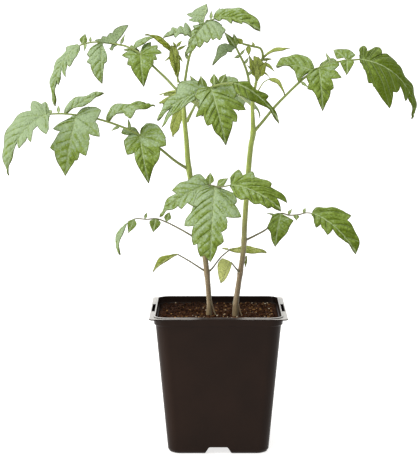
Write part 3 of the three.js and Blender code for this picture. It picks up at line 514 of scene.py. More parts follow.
def vein_share(tree, carried, net):
    """How much of the veins' pale colour shows, from 0 to 1: most on the midrib, less on the side veins, and
    least on the net of small ones."""
    midrib = add_node(tree, "ShaderNodeMapRange", {"Value": carried["rib"], "From Min": 0.3, "From Max": 0.85,
                                                   "To Min": 0.85, "To Max": 0})
    laterals = add_node(tree, "ShaderNodeMapRange", {"Value": carried["lateral"], "From Min": 0.1,
                                                     "From Max": 0.65, "To Min": 0.34, "To Max": 0})
    small = add_node(tree, "ShaderNodeMapRange", {"Value": net, "From Max": 0.1, "To Min": 0.1, "To Max": 0})
    veins = add_node(tree, "ShaderNodeMath", {0: midrib.outputs[0], 1: laterals.outputs[0]},
                     operation="MAXIMUM")
    veins = add_node(tree, "ShaderNodeMath", {0: veins.outputs[0], 1: small.outputs[0]}, operation="MAXIMUM")
    return veins.outputs[0]


def leaf_tissue(name, greens, rib, below, glow, rim):
    """Living leaf: a matte, downy blade, painted paler on the side that faces the light: painted light. Its
    green runs through the three greens, from pale to deep. The midrib and the side veins are paler, the net
    of small veins is drawn as coarse as VEIN_NET so that it shows, and leaves a fine quilting, in the bump
    and as painted highlights, the lower side is paler, the margin has a dark line, and light shines through a
    little."""
    material, tree, place = new_material(name)
    carried = {key: add_node(tree, "ShaderNodeAttribute", attribute_name=key).outputs["Fac"]
               for key in ("rib", "lateral", "margin", "along", "facing", "under", "tone")}
    cells = add_node(tree, "ShaderNodeTexVoronoi", {"Vector": place, "Scale": 1 / (VEIN_NET * MM)},
                     feature="DISTANCE_TO_EDGE")
    net = cells.outputs["Distance"]
    quilt = add_node(tree, "ShaderNodeMapRange", {"Value": net, "From Max": 0.3},
                     interpolation_type="SMOOTHSTEP").outputs[0]
    green = add_node(tree, "ShaderNodeValToRGB", {"Fac": green_depth(tree, place, carried, quilt)})
    stops = green.color_ramp.elements
    stops.new(0.5)
    for stop, code in zip(stops, greens):
        stop.color = colour(code)
    upper = add_node(tree, "ShaderNodeMix", {
        FACTOR: vein_share(tree, carried, net), FIRST: green.outputs["Color"], SECOND: colour(rib)},
        data_type="RGBA")
    shown = add_node(tree, "ShaderNodeMix", {FACTOR: carried["under"], FIRST: upper.outputs[MIXED],
                                             SECOND: colour(below)}, data_type="RGBA")
    border = add_node(tree, "ShaderNodeMapRange", {"Value": carried["margin"], "From Min": 0.4,
                                                   "From Max": 1.2, "To Min": 0.72, "To Max": 0})
    shown = add_node(tree, "ShaderNodeMix", {FACTOR: border.outputs[0], FIRST: shown.outputs[MIXED],
                                             SECOND: colour(rim)}, data_type="RGBA")
    bump = add_node(tree, "ShaderNodeBump", {"Height": quilt, "Strength": 0.8, "Distance": 0.6 * MM})
    skin = add_node(tree, "ShaderNodeBsdfPrincipled", {
        "Base Color": shown.outputs[MIXED], "Roughness": 0.58, "IOR": 1.42, "Specular IOR Level": 0.18,
        "Sheen Weight": 0.04, "Sheen Roughness": 0.4, "Sheen Tint": colour(0xE9F2E4),
        "Normal": bump.outputs[0]})
    through = add_node(tree, "ShaderNodeBsdfTranslucent", {"Color": colour(glow), "Normal": bump.outputs[0]})
    both = add_node(tree, "ShaderNodeMixShader", {0: 0.28, 1: skin.outputs[0], 2: through.outputs[0]})
    add_node(tree, "ShaderNodeOutputMaterial", {"Surface": both.outputs[0]})
    return material


def stem_skin(name, low, high, from_z, to_z):
    """Green stem bark, satin and finely streaked lengthwise: brown at the foot and yellow-green higher up,
    with the change spread between two heights. It is painted darker on the side that faces away from the
    light and paler on the side that faces it: painted light and shade."""
    material, tree, place = new_material(name)
    height = add_node(tree, "ShaderNodeSeparateXYZ", {0: place}).outputs["Z"]
    drawn_out = (1, 1, STREAK["width"] / STREAK["length"])
    long = add_node(tree, "ShaderNodeMapping", {"Vector": place, "Scale": drawn_out})
    streaks = add_node(tree, "ShaderNodeTexNoise", {"Vector": long.outputs[0], "Detail": 3,
                                                    "Scale": 1 / (STREAK["width"] * MM)})
    blotch = add_node(tree, "ShaderNodeTexNoise", {"Vector": place, "Detail": 2,
                                                   "Scale": 1 / (STEM_BLOTCH * MM)})
    moved = add_node(tree, "ShaderNodeMath", {0: blotch.outputs["Fac"], 1: BLOTCH_SHIFT, 2: height},
                     operation="MULTIPLY_ADD")
    share = add_node(tree, "ShaderNodeMapRange", {
        "Value": moved.outputs[0], "From Min": from_z * MM + BLOTCH_SHIFT / 2,
        "From Max": to_z * MM + BLOTCH_SHIFT / 2}, interpolation_type="SMOOTHSTEP")
    base = add_node(tree, "ShaderNodeMix", {FACTOR: share.outputs[0], FIRST: colour(low),
                                            SECOND: colour(high)}, data_type="RGBA")
    dark = add_node(tree, "ShaderNodeMapRange", {"Value": streaks.outputs["Fac"], "From Min": 0.35,
                                                 "From Max": 0.7, "To Min": 0.7, "To Max": 1.12})
    # Painted light and shade: paler on the side that looks towards PALE_SIDE, darker on the other
    facing = add_node(tree, "ShaderNodeAttribute", attribute_name="facing").outputs["Fac"]
    side_lit = add_node(tree, "ShaderNodeMath", {0: facing, 1: SIDE_SHADING, 2: 1}, operation="MULTIPLY_ADD")
    level = add_node(tree, "ShaderNodeMath", {0: dark.outputs[0], 1: side_lit.outputs[0]}, operation="MULTIPLY")
    shown = add_node(tree, "ShaderNodeVectorMath", {0: base.outputs[MIXED], "Scale": level.outputs[0]},
                     operation="SCALE")
    bump = add_node(tree, "ShaderNodeBump", {"Height": streaks.outputs["Fac"], "Strength": 0.3,
                                             "Distance": 0.3 * MM})
    skin = add_node(tree, "ShaderNodeBsdfPrincipled", {
        "Base Color": shown.outputs[0], "Roughness": 0.45, "IOR": 1.42, "Sheen Weight": 0.15,
        "Normal": bump.outputs[0]})
    add_node(tree, "ShaderNodeOutputMaterial", {"Surface": skin.outputs[0]})
    return material


def plant_hair(name, shade):
    """Glandular hairs: glassy and nearly white, so that they read as a pale fuzz."""
    material, tree, _ = new_material(name)
    skin = add_node(tree, "ShaderNodeBsdfPrincipled", {"Base Color": colour(shade), "Roughness": 0.4})
    add_node(tree, "ShaderNodeOutputMaterial", {"Surface": skin.outputs[0]})
    return material


def moulded_plastic(name, shade, glint_shade, roughness, specular):
    """Injection-moulded polypropylene, dark with recycled pigment: satin, with the fine grain of the mould
    and faint cloudy flow marks. Left and right of the middle it goes over into its glint shade: a painted
    reflection."""
    material, tree, place = new_material(name)
    cloud = add_node(tree, "ShaderNodeTexNoise", {"Vector": place, "Detail": 3,
                                                  "Scale": 1 / (FLOW_MARK * MM)})
    grain = add_node(tree, "ShaderNodeTexNoise", {"Vector": place, "Detail": 2,
                                                  "Scale": 1 / (MOULD_GRAIN * MM)})
    tone = add_node(tree, "ShaderNodeMapRange", {"Value": cloud.outputs["Fac"], "From Min": 0.3,
                                                 "From Max": 0.7, "To Min": 0.85, "To Max": 1.15})
    # Painted reflection: left and right of the middle the colour goes over to the glint shade
    sideways = add_node(tree, "ShaderNodeSeparateXYZ", {0: place}).outputs["X"]
    across = add_node(tree, "ShaderNodeMath", {0: sideways}, operation="ABSOLUTE")
    glint_mask = add_node(tree, "ShaderNodeMapRange", {"Value": across.outputs[0], "From Min": GLINT_SPAN["from"] * MM,
                                                 "From Max": GLINT_SPAN["to"] * MM})
    base = add_node(tree, "ShaderNodeMix", {FACTOR: glint_mask.outputs[0], FIRST: colour(shade),
                                            SECOND: colour(glint_shade)}, data_type="RGBA")
    shown = add_node(tree, "ShaderNodeVectorMath", {0: base.outputs[MIXED], "Scale": tone.outputs[0]},
                     operation="SCALE")
    gloss = add_node(tree, "ShaderNodeMapRange", {"Value": cloud.outputs["Fac"], "From Min": 0.3,
                                                  "From Max": 0.7, "To Min": roughness - GLOSS_RANGE,
                                                  "To Max": roughness + GLOSS_RANGE})
    bump = add_node(tree, "ShaderNodeBump", {"Height": grain.outputs["Fac"], "Strength": 0.12,
                                             "Distance": 0.08 * MM})
    skin = add_node(tree, "ShaderNodeBsdfPrincipled", {
        "Base Color": shown.outputs[0], "Roughness": gloss.outputs[0], "IOR": 1.49,
        "Specular IOR Level": specular, "Normal": bump.outputs[0]})
    add_node(tree, "ShaderNodeOutputMaterial", {"Surface": skin.outputs[0]})
    return material


def crumbly(name, dark, light, grain, roughness):
    """Potting mix and what is in it, dull and rough: peat, bark or perlite, each grain with its own tone
    between two colours, flecked and pitted at about a millimetre and finer."""
    material, tree, place = new_material(name)
    own = add_node(tree, "ShaderNodeAttribute", attribute_name="tone").outputs["Fac"]
    fleck = add_node(tree, "ShaderNodeTexNoise", {"Vector": place, "Scale": 1 / (grain * MM), "Detail": 4,
                                                  "Roughness": 0.7})
    share = add_node(tree, "ShaderNodeMapRange", {"Value": fleck.outputs["Fac"], "From Min": 0.35,
                                                  "From Max": 0.7, "To Min": -0.3, "To Max": 0.4})
    share = add_node(tree, "ShaderNodeMath", {0: share.outputs[0], 1: own}, operation="ADD", use_clamp=True)
    shown = add_node(tree, "ShaderNodeMix", {FACTOR: share.outputs[0], FIRST: colour(dark),
                                             SECOND: colour(light)}, data_type="RGBA")
    bump = add_node(tree, "ShaderNodeBump", {"Height": fleck.outputs["Fac"], "Strength": 0.7,
                                             "Distance": 0.4 * MM})
    skin = add_node(tree, "ShaderNodeBsdfPrincipled", {
        "Base Color": shown.outputs[MIXED], "Roughness": roughness, "Specular IOR Level": 0.06,
        "Normal": bump.outputs[0]})
    add_node(tree, "ShaderNodeOutputMaterial", {"Surface": skin.outputs[0]})
    return material


LEAF = leaf_tissue("tomato_leaf", (0xA4B78E, 0x7F943C, 0x4F6000),
                   rib=0xBACA96, below=0x98AA7E, glow=0x9CB420, rim=0x3E4018)
YOUNG_LEAF = leaf_tissue("young_tomato_leaf", (0xA6B25E, 0x929E3A, 0x707A12),
                         rib=0xAEBA6C, below=0x9CAA62, glow=0xA8B428, rim=0x4C5024)
# The cotyledons' pale green is raised to paint the glow of light shining through them: painted light
COTYLEDON = leaf_tissue("tomato_cotyledon", (0xCCD284, 0xA2AE52, 0x68762A),
                        rib=0xCCD094, below=0xB4BC82, glow=0xC4CC40, rim=0x646630)
STEM = stem_skin("tomato_stem_bark", 0x7E6C4E, 0x8E9C48, 150, 240)
PETIOLE = stem_skin("tomato_petiole_skin", 0x686448, 0x7C8A40, 215, 270)
HAIR = plant_hair("tomato_hair", 0xD8DEC0)
POT = moulded_plastic("satin_polypropylene", 0x180D07, 0x180D07, 0.36, 0.1)
# The rim's faces that look up are painted pale left and right of the middle: a painted reflection
RIM = moulded_plastic("glint_polypropylene", 0x2A221D, 0xAAA7A2, 0.35, 0.3)
# Painted shade: the real slots are open and dark below, so the blind ones have dull, nearly black floors
SLOT_FLOOR = moulded_plastic("shaded_polypropylene", 0x060404, 0x060404, 0.8, 0)
PEAT = crumbly("peat_potting_mix", 0x140A06, 0x502F18, 1.1, 0.95)
BARK = crumbly("composted_bark", 0x3A2416, 0x9A7448, 0.8, 0.85)
PERLITE = crumbly("perlite", 0x8A7862, 0xE0D4BC, 0.5, 0.8)


# The plant's leaves, in mm. `rachis` is a frond's axis from the stem outwards and `radii` its radius at both
# ends, and blade() and leaflet() say what their numbers are.
FRONDS = [
    {"name": "cotyledon_left_a", "stem": "left", "radii": [0.75, 0.6],
     "rachis": [[-10, -12, 154], [-16, -13, 158], [-25, -14, 164], [-35, -15, 170]],
     "blades": [
        blade(1, [-57, -18, 155], [-0.3, -1, 0.8], 50, 8,
          [[28, 14], [53, 21], [76, 13]],
          [[30, 4], [52, 3], [74, 3]]),
     ]},
    {"name": "cotyledon_left_b", "stem": "left", "radii": [0.75, 0.6],
     "rachis": [[-10, -12, 153], [-5, -8, 157], [2, 0, 165], [10, 6, 171]],
     "blades": [
        blade(1, [43, 16, 167], [0, -0.8, 1], 40, 8,
          [[18, 16], [45, 17], [74, 13]],
          [[22, 6], [48, 8], [78, 7]]),
        leaflet(1, [3, 10, 172], [0, -0.5, 1], 20, 0, 2.8),
     ]},
    {"name": "cotyledon_right_a", "stem": "right", "radii": [0.75, 0.6],
     "rachis": [[19, -11, 153], [16, -15, 157], [11, -21, 164]],
     "blades": [
        blade(1, [2, -30, 147], [0, -1, 0.3], 60, 5,
          [[4, 40], [34, 46], [71, 26]],
          [[7, 6], [45, 12], [81, 10]]),
     ]},
    {"name": "cotyledon_right_b", "stem": "right", "radii": [0.75, 0.6],
     "rachis": [[19, -11, 154], [22, -2, 161], [24, 8, 164]],
     "blades": [
        blade(1, [25, 40, 150], [0, 0.2, 1], 50, 5,
          [[45, 4], [71, 4]],
          [[44, 4], [71, 4]]),
     ]},
    {"name": "frond_left_low", "stem": "left", "radii": [0.9, 0.5],
     "rachis": [[-13, -12, 179], [-23, -6, 185], [-33, 0, 190], [-44, 5, 195], [-54, 10, 198],
       [-63, 14, 197], [-73, 18, 197], [-80, 20, 193]],
     "blades": [
        blade(1, [-87, 22, 164], [-0.82, -0.53, 0.2], 90, 0,
          [[19, 9], [47, 13], [73, 13]],
          [[20, 13], [45, 15], [71, 13]]),
        leaflet(0.88, [-79, 10, 185], [0, -1, 0.3], 60, 5, 8),
        leaflet(0.58, [-57, 2, 187], [0, -1, 0.3], 60, 5, 10),
        leaflet(0.74, [-63, 22, 202], [0, -1, 0.3], 20, 5, 2.8),
        leaflet(0.45, [-43, 18, 203], [0, -1, 0.3], 20, 5, 6),
     ]},
    {"name": "frond_right_low", "stem": "right", "radii": [0.9, 0.5],
     "rachis": [[22, -10, 181], [33, -14, 187], [42, -18, 193], [48, -22, 202], [54, -25, 207],
       [60, -29, 206], [68, -34, 207], [74, -38, 209], [79, -41, 209]],
     "blades": [
        blade(1, [115, -62, 177], [0.2, -0.9, 0.8], 70, 6,
          [[14, 11], [29, 23], [29, 12], [51, 22], [49, 7], [74, 6], [80, 3]],
          [[-4, 14], [10, 25], [28, 33], [48, 39], [51, 25], [68, 24], [88, 16]]),
        blade(0.49, [48, -40, 180], [-0.1, -1, 0.25], 70, 8,
          [[14, 20], [33, 25], [55, 29], [66, 18], [83, 12]],
          [[12, 16], [24, 39], [42, 32], [60, 27], [83, 11]]),
        leaflet(0.41, [41, -30, 208], [0, -1, 0.9], 20, 0, 2.8),
        leaflet(0.61, [63, -25, 211], [0, -1, 0.3], 20, 0, 2.8),
        leaflet(0.72, [66, -42, 203], [0, -1, 0.3], 30, 0, 5),
        leaflet(0.83, [74, -34, 213], [0, -1, 0.3], 20, 0, 2.8),
     ]},
    {"name": "frond_front_low", "stem": "left", "radii": [1.1, 0.6],
     "rachis": [[-22, -11, 226], [-17, -22, 230], [-9, -40, 233], [1, -56, 233], [10, -70, 236]],
     "blades": [
        blade(0.52, [-50, -48, 207], [-0.25, -0.8, 0.9], 50, 10,
          [[3, 27], [13, 31], [28, 26], [42, 27], [57, 25], [54, 14], [69, 14], [86, 6]],
          [[16, 18], [28, 30], [42, 39], [49, 22], [62, 24], [64, 12], [74, 12], [83, 5], [94, 6]]),
        blade(0.65, [-7, -62, 170], [-0.05, -1, 0.35], 60, 8,
          [[4, 12], [12, 22], [24, 26], [36, 28], [46, 35], [55, 36], [54, 24], [67, 26],
            [78, 23], [76, 18], [93, 13], [90, 8]],
          [[6, 14], [10, 26], [20, 31], [24, 28], [30, 33], [40, 38], [41, 18], [55, 20], [60, 13],
            [71, 17], [78, 9]]),
        blade(1, [51, -92, 217], [0.2, -0.85, 0.8], 60, 8,
          [[18, 18], [42, 31], [48, 22], [62, 23], [68, 17], [82, 17], [85, 8]],
          [[-9, 12], [-17, 30], [-19, 45], [5, 28], [18, 39], [29, 29], [43, 31], [60, 30], [62, 23],
            [79, 26], [98, 19], [80, 12]]),
        leaflet(0.54, [-7, -36, 243], [0, -1, 0.3], 20, 5, 7),
        leaflet(0.69, [8, -52, 240], [0, -1, 0.9], 20, 5, 7),
     ]},
    {"name": "frond_left_mid", "stem": "left", "radii": [1.3, 0.75],
     "rachis": [[-25, -10, 243], [-37, -14, 251], [-50, -18, 262], [-64, -22, 272], [-79, -26, 280],
       [-98, -30, 287], [-115, -34, 291], [-130, -38, 293], [-142, -41, 293]],
     "blades": [
        blade(0.4, [-59, -38, 234], [-0.1, -1, 0.3], 60, 8,
          [[-23, 8], [-33, 28], [-15, 37], [-7, 22], [7, 33], [22, 33], [38, 31], [37, 16], [60, 15]],
          [[-37, 13], [-32, 26], [-6, 42], [8, 48], [36, 49], [37, 36], [59, 30], [73, 16]]),
        blade(0.79, [-129, -46, 241], [0, -1, 0.3], 50, 8,
          [[13, 14], [21, 25], [30, 32], [32, 20], [46, 25], [60, 31], [64, 23], [77, 17], [88, 9]],
          [[-14, 8], [-22, 28], [-16, 38], [6, 33], [30, 45], [29, 27], [63, 29], [60, 18], [72, 16],
            [73, 12], [87, 6]]),
        blade(1, [-176, -52, 242], [-0.57, -0.7, 0.43], 95, 12,
          [[-14, 29], [-21, 44], [-10, 34], [-3, 15], [-6, 34], [-8, 47], [1, 41], [12, 24], [26, 28],
            [39, 28], [57, 23], [74, 15]],
          [[18, 27], [31, 42], [27, 15], [36, 19], [48, 27], [45, 15], [61, 16], [56, 4], [76, 5], [88, 3]]),
        blade(0.87, [-97, -22, 310], [0, -0.75, 1], 30, 6,
          [[18, 3], [36, 12], [52, 12], [59, 13], [78, 6]],
          [[14, 16], [42, 19], [62, 12], [88, 8]]),
        blade(0.6, [-54, -14, 298], [0, -0.45, 1], 70, 4,
          [[20, 3], [33, 11], [35, 35], [53, 20], [64, 22]],
          [[20, 29], [32, 27], [54, 12], [87, 8]]),
        leaflet(0.99, [-141, -38, 297], [0, -1, 0.3], 20, 5, 2.4),
        leaflet(0.92, [-135, -34, 300], [0, -1, 0.3], 20, 5, 2.8),
        leaflet(0.53, [-91, -34, 278], [0, -1, 0.9], 30, 0, 2.8),
        leaflet(0.47, [-77, -20, 288], [0, -1, 0.3], 20, 0, 2.8),
     ]},
    {"name": "frond_front_top", "stem": "left", "radii": [1.35, 0.7],
     "rachis": [[-27, -10, 285], [-22, -18, 295], [-16, -34, 307], [-8, -50, 315], [3, -62, 319],
       [12, -72, 320]],
     "blades": [
        blade(0.52, [-51, -52, 288], [-0.25, -0.8, 0.8], 60, 8,
          [[-3, 25], [10, 38], [29, 38], [47, 19], [67, 17], [86, 9]],
          [[29, 16], [52, 19], [74, 19], [102, 19], [80, 11], [68, 3], [84, 3]]),
        blade(0.63, [6, -62, 268], [0, -1, 0.4], 60, 6,
          [[-3, 10], [0, 24], [9, 31], [20, 25], [31, 29], [44, 38], [42, 24], [52, 25], [62, 23],
            [61, 15], [74, 13], [85, 6]],
          [[-15, 26], [-10, 45], [10, 46], [31, 31], [40, 41], [52, 46], [46, 25], [57, 30], [67, 26],
            [65, 20], [79, 13]]),
        blade(1, [49, -88, 288], [0.2, -0.8, 0.8], 70, 8,
          [[20, 19], [33, 21], [45, 19], [54, 12], [64, 7], [75, 3], [84, 3]],
          [[7, 7], [18, 12], [32, 10], [44, 10], [58, 14], [60, 6], [71, 7], [86, 4]]),
        leaflet(0.42, [-24, -30, 325], [0, -1, 0.9], 30, 0, 8),
        leaflet(0.49, [-15, -36, 325], [0, -1, 0.9], 30, 0, 8),
        leaflet(0.68, [-4, -50, 327], [0, -1, 0.3], 30, 0, 7),
        leaflet(0.77, [6, -56, 327], [0, -1, 0.3], 30, 0, 7),
     ]},
    {"name": "frond_left_top", "stem": "left", "radii": [1.3, 0.65],
     "rachis": [[-32, -9, 311], [-37, -5, 313], [-45, 2, 321], [-57, 8, 332], [-68, 13, 342],
       [-79, 17, 348], [-88, 20, 350], [-106, 26, 352], [-115, 29, 351], [-122, 31, 349]],
     "blades": [
        blade(0.44, [-64, -6, 314], [-0.1, -1, 0.25], 40, 8,
          [[-38, 12], [-54, 26], [-41, 29], [-37, 46], [-17, 31], [-4, 49], [10, 32], [33, 36], [39, 27],
            [56, 23]],
          [[-34, 4], [-52, 27], [-29, 28], [-27, 46], [-7, 44], [13, 57], [14, 39], [30, 43], [30, 33],
            [45, 32], [61, 20]]),
        blade(0.75, [-101, 12, 316], [-0.1, -1, 0.4], 50, 8,
          [[10, 17], [31, 34], [39, 27], [50, 34], [56, 25], [71, 22], [84, 15]],
          [[15, 6], [36, 14], [51, 13], [55, 7], [72, 5], [85, 3]]),
        blade(1, [-143, 22, 296], [-0.6, -0.68, 0.43], 85, -4,
          [[2, 16], [8, 22], [16, 15], [38, 17], [60, 15], [80, 10]],
          [[8, 10], [19, 17], [28, 15], [39, 16], [37, 9], [55, 17], [44, 4], [69, 7], [63, 3], [79, 3],
            [89, 3]]),
        blade(0.69, [-79, 34, 367], [0, 0.9, -0.5], 40, 5,
          [[-19, 29], [-37, 60], [-10, 48], [10, 53], [19, 40], [39, 40], [42, 32], [60, 34], [84, 23]],
          [[-45, 6], [-44, 18], [-14, 10], [6, 14], [13, 3], [27, 4], [30, 3], [59, 3], [65, 3], [88, 3]]),
        blade(0.5, [-55, 26, 356], [0, -0.3, 1], 40, 3,
          [[24, 11], [65, 11]],
          [[38, 29], [74, 28]]),
        leaflet(0.96, [-117, 34, 359], [0, -1, 0.3], 20, 0, 7),
        leaflet(0.85, [-112, 30, 357], [0, -1, 0.3], 20, 0, 2.4),
        leaflet(0.91, [-117, 22, 344], [0, -1, 0.3], 40, 0, 2.8),
        leaflet(0.64, [-81, 14, 359], [0, -1, 0.3], 20, 0, 2.8),
     ]},
    {"name": "frond_top", "stem": "left", "radii": [1.4, 0.6],
     "rachis": [[-31, -9, 304], [-29, -11, 317], [-26, -14, 335], [-23, -16, 345], [-17, -19, 356],
       [-10, -22, 369], [-4, -25, 372]],
     "blades": [
        blade(1, [35, -44, 362], [0.15, -0.9, 0.8], 65, 6,
          [[6, 3], [21, 10], [23, 5], [36, 10], [47, 14], [45, 5], [57, 7], [66, 9], [64, 3], [79, 3],
            [89, 3]],
          [[-7, 17], [-12, 31], [-16, 43], [-3, 31], [4, 26], [12, 25], [23, 29], [47, 29], [65, 25],
            [81, 19], [92, 12]]),
        blade(0.76, [-10, -14, 385], [-0.3, -1, 0.3], 30, 6,
          [[45, 3], [68, 11]],
          [[26, 22], [30, 62], [38, 42], [51, 71], [59, 49], [71, 41], [87, 20]]),
        blade(0.88, [-28, -52, 341], [-0.1, -1, 0.7], 60, 8,
          [[20, 3], [29, 7], [39, 14], [44, 8], [52, 12], [60, 6], [69, 7], [80, 3], [90, 3]],
          [[-10, 10], [0, 28], [12, 29], [19, 43], [31, 43], [50, 46], [47, 38], [55, 35], [52, 30], [63, 28],
            [62, 21], [76, 19], [74, 11], [86, 11], [89, 7]]),
        blade(0.65, [-47, -26, 356], [-0.2, -0.6, 1], 75, 6,
          [[14, 31], [25, 30], [18, 87], [38, 29], [45, 43], [55, 27], [66, 39], [75, 18]],
          [[27, 11], [34, 3], [44, 18], [46, 4], [55, 4], [69, 22], [70, 3], [84, 3]]),
        leaflet(0.93, [-6, -20, 379], [0, -1, 0.3], 20, 0, 2.8),
        leaflet(0.36, [-29, -10, 345], [0, -1, 0.3], 20, 0, 2.8),
        leaflet(0.65, [-14, -22, 350], [0, -1, 0.3], 20, 0, 2.8),
     ]},
    {"name": "leaf_left_tip", "stem": "left", "radii": [0.9, 0.45],
     "rachis": [[-34, -9, 318], [-35, -9, 322], [-35, -10, 330], [-36, -10, 341], [-36, -10, 348]],
     "blades": [
        blade(0.28, [-40, -15, 350], [0.25, -1, 0.1], 20, 14,
          [[34, 8], [70, 15], [92, 12]],
          [[33, 12], [65, 16], [87, 10]]),
        blade(0.79, [-63, -4, 359], [-0.1, -0.5, 1], 60, 8,
          [[27, 4], [48, 7], [68, 7], [87, 4]],
          [[12, 15], [34, 21], [42, 15], [58, 13], [77, 8]]),
        leaflet(0.28, [-34, -19, 346], [0.2, -1, 0.1], 15, 10, 4),
        leaflet(0.8, [-46, -14, 336], [0, -1, 0.9], 30, 5, 2.6),
        leaflet(0.8, [-30, -14, 335], [0, -1, 0.9], 30, 5, 2.6),
        leaflet(1, [-39, -12, 353], [0, -1, 0.3], 20, 0, 2.4),
        leaflet(1, [-31, -9, 354], [0, -1, 0.3], 20, 5, 2.8),
        leaflet(0.9, [-27, -8, 350], [0, -1, 0.3], 20, 0, 2.4),
     ]},
    {"name": "frond_right_main", "stem": "right", "radii": [1.4, 0.8],
     "rachis": [[30, -7, 275], [38, -4, 284], [49, 0, 297], [59, 4, 307], [73, 8, 320], [86, 12, 329],
       [96, 15, 334], [104, 18, 335], [113, 21, 336], [124, 24, 337]],
     "blades": [
        blade(0.57, [90, -4, 293], [0, -1, 0.4], 60, 8,
          [[3, 15], [29, 30], [40, 26], [52, 30], [56, 20], [64, 15], [79, 9]],
          [[-31, 19], [-35, 36], [-2, 45], [10, 33], [32, 46], [34, 23], [54, 27], [58, 20], [71, 17],
            [85, 8]]),
        blade(0.53, [51, 30, 330], [-0.2, -0.8, 0.8], 50, 5,
          [[18, 26], [35, 36], [53, 35], [73, 33], [97, 28]],
          [[10, 12], [16, 28], [20, 46], [42, 16], [59, 3], [67, 3], [85, 3]]),
        blade(0.88, [111, 2, 324], [0, -1, 0.3], 50, 12,
          [[27, 27], [71, 18]],
          [[28, 29], [72, 14]]),
        blade(0.89, [101, 26, 345], [0, -1, 0.9], 30, 6,
          [[-10, 60], [38, 59], [66, 33]],
          [[27, 3], [47, 39]]),
        blade(1, [172, 34, 284], [0.6, -0.6, 0.53], 105, 5,
          [[7, 15], [15, 28], [21, 38], [25, 36], [34, 45], [46, 47], [57, 50], [53, 37], [49, 27],
            [53, 24], [52, 10], [58, 15], [69, 15], [69, 6], [82, 7]],
          [[-4, 15], [-7, 27], [-5, 35], [0, 29], [3, 17], [5, 32], [7, 41], [12, 38], [19, 20], [23, 29],
            [31, 27], [38, 19], [54, 14], [70, 14], [83, 12], [93, 7]]),
        leaflet(0.69, [94, 24, 343], [0, -1, 0.3], 20, 0, 2.8),
        leaflet(0.43, [78, 2, 313], [0, -1, 0.3], 30, 0, 2.8),
     ]},
    {"name": "frond_right_upper", "stem": "right", "radii": [1.3, 0.95],
     "rachis": [[30, -6, 306], [27, -8, 315], [25, -10, 325], [22, -12, 334], [18, -14, 342],
       [15, -16, 348]],
     "blades": [
        blade(1, [-5, -26, 333], [-0.3, -0.8, 0.8], 70, 10,
          [[9, 14], [16, 31], [30, 32], [44, 32], [70, 14]],
          [[20, 9], [33, 19], [38, 6], [52, 16], [70, 9]]),
        leaflet(1, [5, -16, 361], [0, -1, 0.3], 30, 0, 6),
        leaflet(1, [13, -16, 360], [0, -1, 0.3], 20, 0, 6),
        leaflet(0.77, [13, -18, 339], [0, -1, 0.3], 30, 0, 2.8),
        leaflet(0.59, [26, -12, 340], [0, -1, 0.3], 10, 0, 2.4),
        leaflet(0.78, [23, -14, 347], [0, -1, 0.3], 10, 0, 2.4),
        leaflet(0.38, [29, -14, 329], [0, -1, 0.3], 20, 0, 2.8),
     ]},
    {"name": "leaf_right_tip", "stem": "right", "radii": [1.2, 1],
     "rachis": [[33, -6, 319], [33, -6, 323], [35, -7, 332], [38, -8, 340], [36, -9, 347], [29, -10, 349],
       [21, -11, 351]],
     "blades": [
        blade(0.05, [34, -16, 340], [0, -1, 0.2], 30, 10,
          [[37, 18], [66, 33], [90, 12]],
          [[48, 14], [80, 18], [104, 19]]),
        blade(0.47, [61, -10, 347], [0, -0.4, 1], 50, 4,
          [[31, 10], [53, 10], [76, 12]],
          [[24, 16], [48, 18], [75, 10]]),
        leaflet(0.1, [33, -20, 337], [0, -1, 0.2], 20, 20, 4.5),
        leaflet(0.1, [26, -16, 342], [0, -1, 0.2], 25, 10, 7),
        leaflet(0.15, [41, -20, 337], [0.2, -1, 0.3], 30, 10, 8),
        leaflet(0.39, [48, -14, 327], [0.6, -0.6, 0.8], 60, 0, 5),
        leaflet(1, [15, -12, 356], [0, -1, 0.3], 20, 5, 5),
        leaflet(0.25, [44, -12, 322], [0.5, -0.6, 0.8], 70, 5, 3.6),
        leaflet(0.43, [47, -4, 338], [0, -1, 0.9], 30, 5, 2.8),
        leaflet(0.91, [26, -14, 341], [0, -1, 0.3], 20, 0, 4.5),
        leaflet(0.22, [24, -2, 333], [0, -1, 0.3], 20, 0, 2.8),
        leaflet(0.8, [29, -10, 353], [0, -1, 0.3], 10, 0, 2.4),
     ]},
    {"name": "leaf_right_side", "stem": "right", "radii": [0.6, 0.45],
     "rachis": [[31, -6, 306], [34, -12, 311], [38, -17, 318], [42, -21, 321]],
     "blades": [
        blade(1, [56, -28, 308], [0.2, -0.7, 1], 110, 6,
          [[28, 12], [47, 6], [71, 10]],
          [[17, 12], [43, 17], [70, 6]]),
     ]},
    {"name": "frond_back_left", "stem": "left", "radii": [1, 0.55],
     "rachis": [[-29, -9, 291], [-30, 4, 296], [-31, 26, 300], [-32, 50, 303], [-33, 70, 304]],
     "blades": [
        blade(0.39, [-40, 34, 268], [-0.4, -0.9, 0.5], 50, 6,
          [[17, 4], [42, 13], [64, 10]],
          [[13, 15], [31, 21], [56, 21]]),
        blade(0.7, [-14, 74, 284], [0.6, 0.2, 1], 60, 6,
          [[12, 8], [24, 30], [36, 36], [40, 24], [56, 30], [62, 18], [80, 18]],
          [[12, 8], [22, 26], [38, 34], [42, 22], [60, 26], [66, 15], [82, 14]]),
        blade(0.62, [-45, 84, 292], [-0.6, 0.2, 1], 60, 6,
          [[12, 8], [20, 28], [34, 34], [38, 20], [58, 26], [64, 16], [80, 14]],
          [[12, 8], [24, 28], [40, 34], [44, 22], [62, 24], [68, 14], [84, 12]]),
        blade(1, [-32, 126, 289], [-0.1, 0.6, 1], 60, 6,
          [[6, 10], [14, 32], [26, 36], [30, 22], [48, 34], [54, 18], [70, 24], [76, 13], [88, 12]],
          [[6, 8], [16, 28], [30, 36], [34, 20], [50, 30], [56, 18], [74, 22], [80, 12], [90, 9]]),
